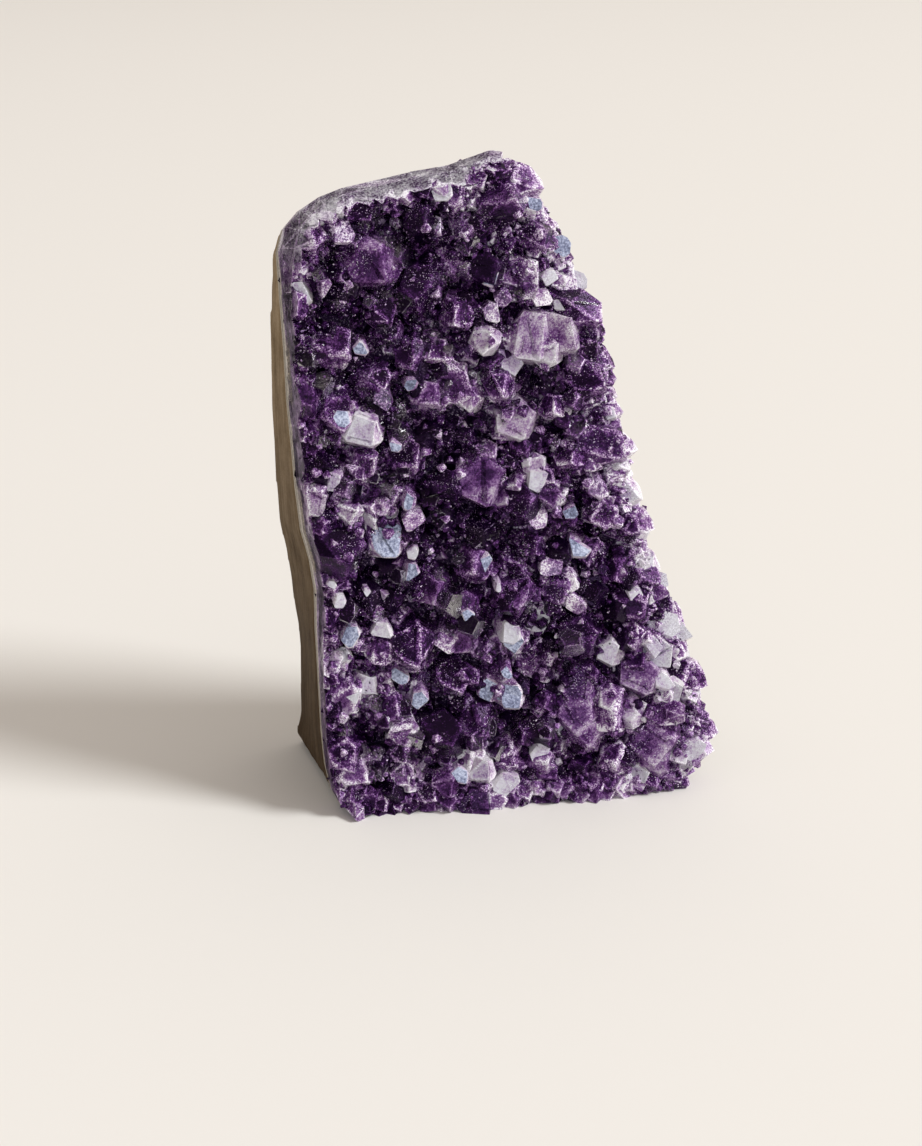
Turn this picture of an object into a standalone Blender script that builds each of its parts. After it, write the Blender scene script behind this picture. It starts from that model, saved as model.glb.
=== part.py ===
"""Amethyst cluster: a piece of geode wall, sawn flat underneath so that it stands upright.

Three solids grew on one another from the back to the front: the basalt rind, a thin
chalcedony lining and the crust of amethyst crystals. The left side and the top were ground
smooth across all three; the right side is broken and its crystals are whole.

Lengths are in metres, +Z is up and the crystals face -Y. Each place on the piece is first
given as (across, depth, up): across from the front left foot, depth behind the face that
the crystals grow from, and up from the table. The face leans back as it goes up.
"""

import math
import random

import bmesh
import bpy
from mathutils import Matrix, Vector, noise

MM = 0.001

# Driving dimensions
HEIGHT = 104 * MM
LEAN = math.radians(12)
SIDE_FLARES = (0.18, 0.07, 0.19)  # the ground side's spread with depth: at the foot, low and high
TOP_FALL = 0.45  # how far the top falls for each unit of depth

CRUST_BACK = 3.4 * MM
LINING_FRONT = 3.7 * MM
LINING_BACK = 4.9 * MM
RIND_FRONT = 5.2 * MM
BEHIND_RIND = 46.0 * MM  # a depth behind all the rock

# The outer surface of the nodule: a rounded block, squarer for a higher power
NODULE_MIDDLE = Vector((27, 6, 40)) * MM
NODULE_RADII = Vector((50, 30, 86)) * MM
NODULE_POWERS = (2.2, 2.2, 5.0)

# The outline seen from the front, as (across, up) in millimetres
GROUND_EDGE = (
    (0.0, 0.0), (-2.4, 2.5), (-3.5, 6.5), (-3.9, 12), (-4.0, 21), (-3.9, 29),
    (-3.5, 36), (-4.0, 41), (-5.2, 46), (-5.8, 53), (-6.1, 60), (-6.5, 67),
    (-6.6, 75), (-6.9, 84), (-7.1, 91), (-6.3, 94.4), (-4.2, 97), (-1.2, 98.9),
    (2.5, 100.2), (8, 101.3), (14, 102.5), (20, 103.4), (26.5, 104),
)  # fmt: skip
BROKEN_EDGE = (
    (31.0, 103.2), (33.5, 99.5), (36.5, 94.5), (40.0, 88.5), (42.5, 81.5),
    (45.2, 74.5), (47.2, 66), (48.6, 57), (50.6, 49), (52.4, 40), (55.5, 32.5),
    (58.2, 25), (60.6, 17), (62.6, 10.5), (60.4, 5.0), (57.6, 0.0),
)  # fmt: skip
# How much of the top is ground away at each depth, in millimetres: its front edge is round
TOP_ROUNDING = ((-13, 9), (-6, 6), (-3.5, 3.4), (-1.2, 1.5), (1.5, 0.3), (3.4, 0))
CRYSTAL_REACH = 3.0 * MM  # how far the crystals reach beyond the wall that they grow on
LAYER_INSET = 2.5 * MM  # how far inside the crystals' reach the layers behind them end

# Crystals that stand out, as (across, up, radius, tip height, tip's tilt to the right, tilt up),
# the lengths in millimetres and the tilts in degrees
LARGE_CRYSTALS = (
    (33.0, 75.5, 4.7, 6.5, -14, 8), (36.0, 75.5, 4.7, 6.5, 12, 2), (34.5, 73.5, 3.3, 5.0, 0, -14),
    (29.5, 61.0, 4.0, 5.8, 2, 10), (5.5, 61.5, 3.4, 5.2, -20, 18), (7.0, 44.5, 3.8, 5.6, 4, 18),
    (23.5, 53.0, 4.7, 6.5, -6, 12), (32.0, 55.5, 2.2, 3.9, 20, -4), (15.0, 66.5, 3.1, 4.8, 2, -8),
    (20.0, 68.5, 3.8, 5.6, 26, -10), (0.0, 65.0, 3.6, 5.4, 8, 24), (39.0, 56.0, 3.4, 5.2, -12, -10),
    (43.5, 57.5, 4.7, 6.5, 10, 4), (28.5, 72.0, 2.5, 4.3, 8, 20), (17.0, 73.5, 2.7, 4.4, -8, -10),
    (8.0, 80.5, 3.1, 4.8, 24, 8), (6.5, 88.0, 5.1, 6.9, -6, 2), (-3.0, 92.0, 3.3, 5.0, 8, 6),
    (-5.5, 83.0, 2.5, 4.3, 18, -20), (20.0, 98.0, 3.6, 5.4, 10, -10), (28.0, 97.0, 4.5, 6.3, 6, -16),
    (30.5, 99.0, 4.0, 5.8, 18, 20), (33.5, 91.0, 3.1, 4.8, -14, 10), (31.5, 84.5, 4.0, 5.8, 12, 6),
    (39.5, 79.0, 4.3, 6.2, 16, 10), (20.5, 80.0, 3.3, 5.0, -18, 12), (0.0, 75.0, 3.8, 5.6, 18, -8),
    (13.0, 73.5, 3.3, 5.0, -6, 14), (-5.5, 66.5, 4.0, 5.8, 14, -8), (4.0, 60.5, 3.6, 5.4, 10, -20),
    (-0.5, 54.5, 2.2, 3.9, -14, 16), (11.0, 57.5, 3.6, 5.4, 12, -6), (7.0, 51.5, 3.6, 5.4, -10, 14),
    (-5.0, 51.0, 3.4, 5.2, 16, 10), (1.5, 49.0, 2.5, 4.3, -8, -12), (17.0, 52.5, 3.4, 5.2, 4, -16),
    (-1.0, 43.0, 5.4, 7.3, 12, -4), (11.5, 46.0, 2.5, 4.3, 14, 16), (30.0, 49.5, 4.0, 5.8, -12, 8),
    (21.5, 39.5, 3.4, 5.2, -8, -6), (35.5, 50.5, 2.9, 4.6, 20, -14), (43.5, 47.0, 3.3, 5.0, -12, 12),
    (47.0, 50.0, 2.9, 4.6, 18, 6), (47.0, 56.5, 3.3, 5.0, 18, -6), (44.5, 71.0, 2.9, 4.6, 22, 12),
    (44.0, 76.0, 2.5, 4.3, 24, 16), (41.5, 68.0, 4.0, 5.8, 10, -12), (49.0, 44.5, 3.3, 5.0, 22, 12),
    (28.5, 34.0, 4.3, 6.2, 2, 6), (36.0, 35.0, 3.3, 5.0, -2, -8), (46.5, 37.5, 3.1, 4.8, -20, 8),
    (50.0, 35.5, 2.9, 4.6, 10, 0), (51.0, 38.0, 2.7, 4.4, 16, 18), (39.0, 27.0, 4.3, 6.2, 6, 10),
    (48.0, 31.5, 4.0, 5.8, 8, -10), (55.0, 29.0, 3.1, 4.8, 22, 12), (44.5, 24.0, 2.7, 4.4, -10, 8),
    (52.5, 23.0, 2.9, 4.6, 8, 10), (49.5, 19.5, 4.0, 5.8, -4, 4), (57.5, 18.5, 3.4, 5.2, 20, 10),
    (54.5, 17.0, 2.7, 4.4, 10, -12), (39.5, 19.0, 3.6, 5.4, -10, 10), (38.5, 14.0, 4.0, 5.8, -12, 0),
    (39.5, 10.5, 3.6, 5.4, -8, -18), (43.5, 14.5, 4.3, 6.2, 4, 8), (48.0, 13.5, 2.7, 4.4, 10, -14),
    (53.5, 13.5, 3.4, 5.2, 12, 6), (62.0, 9.0, 3.3, 5.0, 24, 0), (51.5, 8.5, 5.1, 6.9, -2, 2),
    (59.0, 6.5, 3.4, 5.2, 18, -8), (45.0, 6.0, 3.1, 4.8, -12, -12), (51.5, 5.0, 3.6, 5.4, 4, -18),
    (19.5, 28.0, 3.1, 4.8, 8, 8), (11.0, 27.0, 4.7, 6.5, 6, 12), (6.0, 26.5, 2.9, 4.6, -12, 16),
    (4.5, 20.5, 3.6, 5.4, 10, 16), (6.0, 17.0, 3.4, 5.2, 6, -8), (9.0, 12.5, 3.3, 5.0, -6, -12),
    (15.0, 11.5, 4.9, 6.7, 6, -10), (28.5, 27.0, 2.3, 4.1, -18, 14), (24.0, 19.5, 2.3, 4.1, -22, 16),
    (27.0, 18.5, 2.9, 4.6, 4, 4), (21.5, 14.5, 3.6, 5.4, 8, 10), (26.5, 8.0, 3.1, 4.8, -6, -14),
    (32.0, 11.5, 3.6, 5.4, 4, -8), (-1.0, 10.0, 4.0, 5.8, 8, 10), (0.0, 7.0, 3.4, 5.2, 10, -6),
    (9.0, 6.0, 2.9, 4.6, 12, -8), (16.0, 4.0, 3.3, 5.0, -6, -14), (-0.5, 19.5, 3.4, 5.2, -10, 6),
    (31.5, 6.0, 3.3, 5.0, 8, -20), (-2.0, 32.5, 3.1, 4.8, -8, 10), (25.0, 86.5, 3.6, 5.4, 4, 8),
    (15.0, 94.0, 3.6, 5.4, 6, -6), (14.5, 84.0, 4.0, 5.8, -10, 6),
)  # fmt: skip

FILL_CRYSTALS = 66
FILL_RADII = (4.2 * MM, 2.5 * MM)
EDGE_CRYSTALS = 22
TRIES = 60
SEED = 23

# A quartz crystal: six side faces, and six end faces that slope like this from its axis
END_SLOPE = math.radians(51.8)
ROOT = 3.6 * MM  # how deep a crystal goes in behind the place where it starts
PLATE_FRONT = 1.6 * MM  # the depth at which the crystals' shared quartz begins


def clear_scene():
    for obj in list(bpy.data.objects):
        bpy.data.objects.remove(obj)


def new_collection(name):
    collection = bpy.data.collections.new(name)
    bpy.context.scene.collection.children.link(collection)
    return collection


def place(across, depth, up):
    """The point in space of a place on the piece."""
    return Vector((across, depth + up * math.tan(LEAN), up))


def smooth(low, high, value):
    """0 up to one value, 1 from another on, and a smooth rise between them."""
    share = min(max((value - low) / (high - low), 0.0), 1.0)
    return share * share * (3 - 2 * share)


def edge_across(edge, up):
    """How far across an edge is at this height, in metres."""
    points = sorted((z * MM, x * MM) for x, z in edge)
    for (low, first), (high, second) in zip(points, points[1:]):
        if low <= up <= high:
            return first + (second - first) * (up - low) / max(high - low, 1e-9)
    return points[0][1] if up < points[0][0] else points[-1][1]


def even_points(points, spacing):
    """Points about this far apart along a line of corners, both ends kept."""
    made = []
    for start, end in zip(points, points[1:]):
        steps = max(1, round((end - start).length / spacing))
        made += [start.lerp(end, k / steps) for k in range(steps)]
    return made + [points[-1]]


def side_flare(up):
    """How far the ground side spreads out for each unit of depth, at this height."""
    foot, low, high = SIDE_FLARES
    return foot + (low - foot) * smooth(0, 8 * MM, up) + (high - low) * smooth(20 * MM, 42 * MM, up)


def outline(depth, reach=0.0, top_round=0.0, below=0.0, spacing=5.0 * MM):
    """The closed outline at this depth, as points in space, from the left foot over the top.

    reach moves the broken right edge out, top_round grinds the top away, and below carries
    the outline on under the table.
    """
    left = even_points([Vector((x, z)) * MM for x, z in GROUND_EDGE], spacing)
    right = even_points([Vector((x, z)) * MM for x, z in BROKEN_EDGE], spacing)
    points = []
    for p in left:
        out = side_flare(p.y) * depth * (1 - smooth(92 * MM, 100 * MM, p.y))
        inward = Vector((smooth(4 * MM, -7 * MM, p.x), -smooth(88 * MM, 99 * MM, p.y)))
        moved = p + Vector((-out, 0)) + inward * top_round * smooth(80 * MM, 92 * MM, p.y)
        points.append((moved.x, moved.y))
    points += [(p.x + reach, p.y) for p in right]
    fall = TOP_FALL * max(depth, 0.0) / HEIGHT
    points = [place(x, depth, z * (1 - fall)) for x, z in points]
    if below:
        for end, inner in ((0, 1), (-1, -2)):
            points[end] += (points[end] - points[inner]).normalized() * MM
        down = place(0, 0, -below)
        points += [points[-1] + down, points[0] + down]
    return points


def mesh_object(name, bm, collection):
    bmesh.ops.recalc_face_normals(bm, faces=bm.faces)
    mesh = bpy.data.meshes.new(name)
    bm.to_mesh(mesh)
    bm.free()
    obj = bpy.data.objects.new(name, mesh)
    collection.objects.link(obj)
    return obj


def helper_object(name, bm, collection):
    obj = mesh_object(name, bm, collection)
    obj.hide_render = True
    obj.display_type = "WIRE"
    return obj


def loft(rings):
    """A closed solid through rings that have the same number of points, its ends flat."""
    bm = bmesh.new()
    loops = [[bm.verts.new(point) for point in ring] for ring in rings]
    for first, second in zip(loops, loops[1:]):
        for k in range(len(first)):
            after = (k + 1) % len(first)
            bm.faces.new((first[k], first[after], second[after], second[k]))
    bm.faces.new(loops[0])
    bm.faces.new(loops[-1])
    bmesh.ops.triangulate(bm, faces=[f for f in bm.faces if len(f.verts) > 4])
    return bm


def keep_side(bm, point, outward):
    """Cuts away what lies beyond a plane, and closes the cut with a flat face."""
    cut = bmesh.ops.bisect_plane(
        bm,
        geom=bm.verts[:] + bm.edges[:] + bm.faces[:],
        plane_co=point,
        plane_no=outward,
        clear_outer=True,
    )
    edges = [g for g in cut["geom_cut"] if isinstance(g, bmesh.types.BMEdge)]
    if edges:
        bmesh.ops.edgeloop_fill(bm, edges=edges)


def material(name, colour, roughness, transmission=0.0):
    made = bpy.data.materials.new(name)
    made.use_nodes = True
    shader = made.node_tree.nodes["Principled BSDF"]
    shader.inputs["Base Color"].default_value = (*colour, 1.0)
    shader.inputs["Roughness"].default_value = roughness
    shader.inputs["Metallic"].default_value = 0.0
    shader.inputs["Transmission Weight"].default_value = transmission
    made.diffuse_color = (*colour, 1.0)
    return made


def boolean(obj, operation, **operand):
    modifier = obj.modifiers.new(operation.lower(), "BOOLEAN")
    modifier.operation = operation
    modifier.solver = "EXACT"
    for key, value in operand.items():
        setattr(modifier, key, value)


def roughen_sides(bm):
    """A faint wave along the ground side, and lumps on the broken right side and the top."""
    bm.normal_update()
    moves = {}
    for v in bm.verts:
        broken = max(smooth(28 * MM, 36 * MM, v.co.x), smooth(98 * MM, 102 * MM, v.co.z))
        lumps = 1.5 * MM * noise.noise(v.co / (13 * MM)) - 0.6 * MM
        wave = 0.35 * MM * noise.noise(v.co / (16 * MM) + Vector((3, 8, 1)))
        depth = v.co.y - v.co.z * math.tan(LEAN)
        behind_lining = smooth(RIND_FRONT + 0.5 * MM, RIND_FRONT + 6 * MM, depth)
        moves[v] = v.normal * (wave + broken * lumps) * behind_lining
    for v, move in moves.items():
        v.co += move


def make_nodule(collection):
    """The lumpy outer surface of the nodule, which the piece keeps as its natural back."""
    bm = bmesh.new()
    bmesh.ops.create_icosphere(bm, subdivisions=5, radius=1.0)
    for v in bm.verts:
        direction = v.co.copy()
        for k in range(3):
            rounded = abs(direction[k]) ** (2 / NODULE_POWERS[k])
            v.co[k] = NODULE_MIDDLE[k] + NODULE_RADII[k] * math.copysign(rounded, direction[k])
        lumps = 1.6 * noise.noise(v.co / (15 * MM)) + 0.9 * noise.noise(v.co / (6 * MM))
        v.co += direction * lumps * MM
    return helper_object("nodule", bm, collection)


def make_rind(collection, cutters):
    depths = [RIND_FRONT + (BEHIND_RIND - RIND_FRONT) * k / 8 for k in range(9)]
    bm = loft([outline(depth, reach=-LAYER_INSET, below=24 * MM) for depth in depths])
    bmesh.ops.recalc_face_normals(bm, faces=bm.faces)
    roughen_sides(bm)
    bmesh.ops.triangulate(bm, faces=bm.faces)
    keep_side(bm, Vector((0, 0, 0)), Vector((0, 0, -1)))
    rind = mesh_object("basalt_rind", bm, collection)
    boolean(rind, "INTERSECT", object=make_nodule(cutters))
    rind.data.materials.append(material("basalt", (0.16, 0.14, 0.115), 0.7))
    return rind


def make_lining(collection):
    bm = loft([outline(depth, reach=-LAYER_INSET) for depth in (LINING_FRONT, LINING_BACK)])
    lining = mesh_object("chalcedony_lining", bm, collection)
    lining.data.materials.append(material("chalcedony", (0.52, 0.47, 0.40), 0.45))
    return lining


def make_crystal(rng, radius, tip, plain):
    """One quartz crystal with its axis up Z: its root below the origin and its tip above it.

    A plain crystal has three end faces, and the others have three large and three small ones.
    """
    bm = bmesh.new()
    height = tip + ROOT
    bmesh.ops.create_cube(bm, size=1.0)
    bm.transform(Matrix.Diagonal((4 * radius, 4 * radius, height, 1)))
    bm.transform(Matrix.Translation((0, 0, tip - height / 2)))
    turn = rng.uniform(0, math.tau / 6)
    summit = Vector((rng.uniform(-0.16, 0.16), rng.uniform(-0.16, 0.16), 0)) * radius
    for k in range(6):
        angle = turn + k * math.tau / 6
        outward = Vector((math.cos(angle), math.sin(angle), 0))
        keep_side(bm, outward * radius * rng.uniform(0.80, 1.0), outward)
    for k in range(0, 6, 2 if plain else 1):
        angle = turn + k * math.tau / 6
        outward = Vector((math.cos(angle), math.sin(angle), 0))
        sloping = outward * math.sin(END_SLOPE) + Vector((0, 0, math.cos(END_SLOPE)))
        small_face = rng.uniform(0.10, 0.42) if k % 2 else rng.uniform(-0.08, 0.04)
        peak = summit + Vector((0, 0, tip - 0.10 * radius + small_face * radius))
        keep_side(bm, peak, sloping)
    return bm


def growth_place(across, up):
    """Where a crystal starts and the way that it points, rounding the broken right edge."""
    wall = edge_across(BROKEN_EDGE, up) - CRYSTAL_REACH
    round_over = smooth(5.5 * MM, -2.5 * MM, wall - across)
    on_ridge = smooth(95 * MM, 103 * MM, up) * smooth(22 * MM, 29 * MM, across)
    swell = 1.0 * MM * noise.noise(Vector((across, 0, up)) / (15 * MM))
    start = place(min(across, wall), swell + 2.0 * MM * round_over ** 2, up)
    turn = math.radians(54) * round_over
    outward = Vector((math.sin(turn), -math.cos(turn), 0.7 * on_ridge - 0.4 * math.tan(LEAN)))
    return start, outward.normalized()


def aim(start, outward, right_deg, up_deg):
    """Turns a crystal's axis from Z to the way it points, and moves it to its start."""
    sideways = Vector((0, 0, 1)).cross(-outward).normalized()
    tilted = outward.copy()
    tilted.rotate(Matrix.Rotation(math.radians(right_deg), 3, Vector((0, 0, 1))))
    tilted.rotate(Matrix.Rotation(math.radians(up_deg), 3, -sideways))
    return Matrix.Translation(start) @ tilted.to_track_quat("Z", "X").to_matrix().to_4x4()


def crystal_plan(rng):
    """Every crystal as (across, up, radius, tip, tilt right, tilt up): the large ones first."""
    plan = [tuple(v * MM for v in row[:4]) + row[4:] for row in LARGE_CRYSTALS]
    for k in range(EDGE_CRYSTALS):
        up = HEIGHT * (0.03 + 0.93 * (k + rng.uniform(0.2, 0.8)) / EDGE_CRYSTALS)
        across = edge_across(BROKEN_EDGE, up) - rng.uniform(0.6, 2.0) * MM
        radius = rng.uniform(2.6, 3.6) * MM
        plan.append((across, up, radius, radius * rng.uniform(0.8, 1.1), 0, rng.uniform(-30, 30)))
    for k in range(FILL_CRYSTALS):
        share = k / FILL_CRYSTALS
        radius = FILL_RADII[0] + (FILL_RADII[1] - FILL_RADII[0]) * share ** 0.6
        best = (-math.inf, 0.0, 0.0)
        for _ in range(TRIES):
            up = rng.uniform(0.0, HEIGHT)
            left = edge_across(GROUND_EDGE[:15], up)
            across = rng.uniform(left, edge_across(BROKEN_EDGE, up) - 1.0 * MM)
            room = min(math.hypot(across - a, up - u) - r for a, u, r, *_ in plan)
            best = max(best, (room, across, up))
        tip = radius * rng.uniform(0.8, 1.4)
        plan.append((*best[1:], radius, tip, rng.uniform(-28, 28), rng.uniform(-28, 28)))
    return plan


def make_envelope(collection):
    """What the grinding and the saw left: everything of the crust lies inside this."""
    rings = []
    for depth, ground in TOP_ROUNDING:
        ring = outline(depth * MM, reach=12 * MM, top_round=ground * MM)
        for point in ring:
            past_ridge = smooth(24 * MM, 30 * MM, point.x) * smooth(98 * MM, 102 * MM, point.z)
            point.z += 4 * MM * past_ridge
        rings.append(ring)
    return helper_object("ground_envelope", loft(rings), collection)


def make_plate(collection):
    """The quartz that the crystals share, wider than the envelope except at the broken edge."""
    bm = bmesh.new()
    bmesh.ops.create_cube(bm, size=1.0)
    width, thickness, height = 90 * MM, 4.0 * MM, HEIGHT + 16 * MM
    bm.transform(Matrix.Diagonal((width, thickness, height, 1)))
    bm.transform(Matrix.Translation((20 * MM, thickness / 2 + PLATE_FRONT, HEIGHT / 2)))
    for v in bm.verts:
        v.co.y += v.co.z * math.tan(LEAN)
    wall = [(x * MM - CRYSTAL_REACH, z * MM) for x, z in BROKEN_EDGE]
    for (x0, z0), (x1, z1) in ((wall[0], wall[8]), (wall[8], wall[13])):
        keep_side(bm, Vector((x0, 0, z0)), Vector((z0 - z1, 0, x1 - x0)))
    keep_side(bm, Vector((wall[13][0], 0, wall[13][1])), Vector((1, 0, -0.45)))
    return helper_object("shared_quartz", bm, collection)


def connected(vert):
    """Every vertex that edges join to this one."""
    found = {vert}
    to_visit = [vert]
    while to_visit:
        here = to_visit.pop()
        for edge in here.link_edges:
            other = edge.other_vert(here)
            if other not in found:
                found.add(other)
                to_visit.append(other)
    return found


def drop_pockets(bm):
    """Removes the tiny pockets that crystals enclose between them, so one skin is left."""
    skins = []
    left = set(bm.verts)
    while left:
        skin = connected(next(iter(left)))
        skins.append(skin)
        left -= skin
    skins.sort(key=len)
    bmesh.ops.delete(bm, geom=[v for skin in skins[:-1] for v in skin], context="VERTS")


def make_crust(collection, cutters):
    """The shared quartz and every crystal in one solid, ground and sawn by the envelope."""
    rng = random.Random(SEED)
    crystals = new_collection("separate_crystals")
    for k, (across, up, radius, tip, right, lift) in enumerate(crystal_plan(rng)):
        start, outward = growth_place(across, up)
        bm = make_crystal(rng, radius, tip, k >= len(LARGE_CRYSTALS) and rng.random() < 0.6)
        bm.transform(aim(start, outward, right, lift))
        helper_object(f"crystal_{k:03d}", bm, crystals)
    joined = make_plate(cutters)
    boolean(joined, "UNION", operand_type="COLLECTION", collection=crystals)
    boolean(joined, "INTERSECT", object=make_envelope(cutters))
    bm = bmesh.new()
    bm.from_object(joined, bpy.context.evaluated_depsgraph_get())
    drop_pockets(bm)
    crust = mesh_object("amethyst_crust", bm, collection)
    crust.data.materials.append(material("amethyst", (0.16, 0.07, 0.26), 0.2, 0.3))
    return crust


def stand_on_origin(parts):
    """Moves the piece so that the middle of its box stands on the origin."""
    bpy.context.view_layer.update()
    graph = bpy.context.evaluated_depsgraph_get()
    corners = [Vector(c) for part in parts for c in part.evaluated_get(graph).bound_box]
    low = [min(c[k] for c in corners) for k in range(3)]
    high = [max(c[k] for c in corners) for k in range(3)]
    piece = bpy.data.objects.new("whole_piece", None)
    for obj in bpy.data.objects:
        if obj is not piece:
            obj.parent = piece
    bpy.context.scene.collection.objects.link(piece)
    piece.location = (-(low[0] + high[0]) / 2, -(low[1] + high[1]) / 2, -low[2])


def main():
    clear_scene()
    cluster = new_collection("amethyst_cluster")
    cutters = new_collection("cutters")
    parts = [make_rind(cluster, cutters), make_lining(cluster), make_crust(cluster, cutters)]
    stand_on_origin(parts)


main()
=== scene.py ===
import math
import random

import bmesh
import bpy
from mathutils import Matrix, Vector, noise
from mathutils.bvhtree import BVHTree


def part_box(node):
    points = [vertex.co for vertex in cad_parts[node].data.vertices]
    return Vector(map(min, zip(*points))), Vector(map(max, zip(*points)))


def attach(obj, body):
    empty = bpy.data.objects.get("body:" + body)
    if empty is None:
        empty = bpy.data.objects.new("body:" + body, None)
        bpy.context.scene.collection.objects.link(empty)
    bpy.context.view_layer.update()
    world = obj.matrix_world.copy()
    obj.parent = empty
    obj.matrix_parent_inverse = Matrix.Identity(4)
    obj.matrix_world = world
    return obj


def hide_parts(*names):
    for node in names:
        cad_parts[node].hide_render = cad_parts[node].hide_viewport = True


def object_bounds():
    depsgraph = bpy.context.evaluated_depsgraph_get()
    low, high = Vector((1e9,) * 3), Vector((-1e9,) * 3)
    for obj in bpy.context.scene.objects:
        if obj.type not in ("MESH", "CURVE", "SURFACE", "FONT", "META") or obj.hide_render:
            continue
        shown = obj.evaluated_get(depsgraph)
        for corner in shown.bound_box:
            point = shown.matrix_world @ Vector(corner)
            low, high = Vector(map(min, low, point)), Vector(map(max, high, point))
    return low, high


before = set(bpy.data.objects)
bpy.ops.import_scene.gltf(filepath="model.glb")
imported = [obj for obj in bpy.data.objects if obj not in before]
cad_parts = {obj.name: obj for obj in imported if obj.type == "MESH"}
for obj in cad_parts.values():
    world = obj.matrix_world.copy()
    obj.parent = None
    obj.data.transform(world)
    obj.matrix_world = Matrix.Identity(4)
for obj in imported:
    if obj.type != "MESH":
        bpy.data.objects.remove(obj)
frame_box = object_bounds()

MM = 0.001

# The piece's own shape, as its solids have it. An edge's points are across and up, in mm.
HEIGHT = 104 * MM
LEAN = math.radians(12)
SIDE_FLARES = (0.18, 0.07, 0.19)
TOP_FALL = 0.45
LINING_FRONT = 3.7 * MM
CRYSTAL_REACH = 3.0 * MM
LAYER_INSET = 2.5 * MM
GROUND_EDGE = (
    (0.0, 0.0), (-2.4, 2.5), (-3.5, 6.5), (-3.9, 12), (-4.0, 21), (-3.9, 29),
    (-3.5, 36), (-4.0, 41), (-5.2, 46), (-5.8, 53), (-6.1, 60), (-6.5, 67),
    (-6.6, 75), (-6.9, 84), (-7.1, 91), (-6.3, 94.4), (-4.2, 97), (-1.2, 98.9),
    (2.5, 100.2), (8, 101.3), (14, 102.5), (20, 103.4), (26.5, 104),
)  # fmt: skip
BROKEN_EDGE = (
    (31.0, 103.2), (33.5, 99.5), (36.5, 94.5), (40.0, 88.5), (42.5, 81.5),
    (45.2, 74.5), (47.2, 66), (48.6, 57), (50.6, 49), (52.4, 40), (55.5, 32.5),
    (58.2, 25), (60.6, 17), (62.6, 10.5), (60.4, 5.0), (57.6, 0.0),
)  # fmt: skip
SIDE_EDGE = GROUND_EDGE[:15]  # the ground edge below the rounded top corner
TOP_ROUNDING = ((-13, 9), (-6, 6), (-3.5, 3.4), (-1.2, 1.5), (1.5, 0.3), (3.4, 0))
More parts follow.
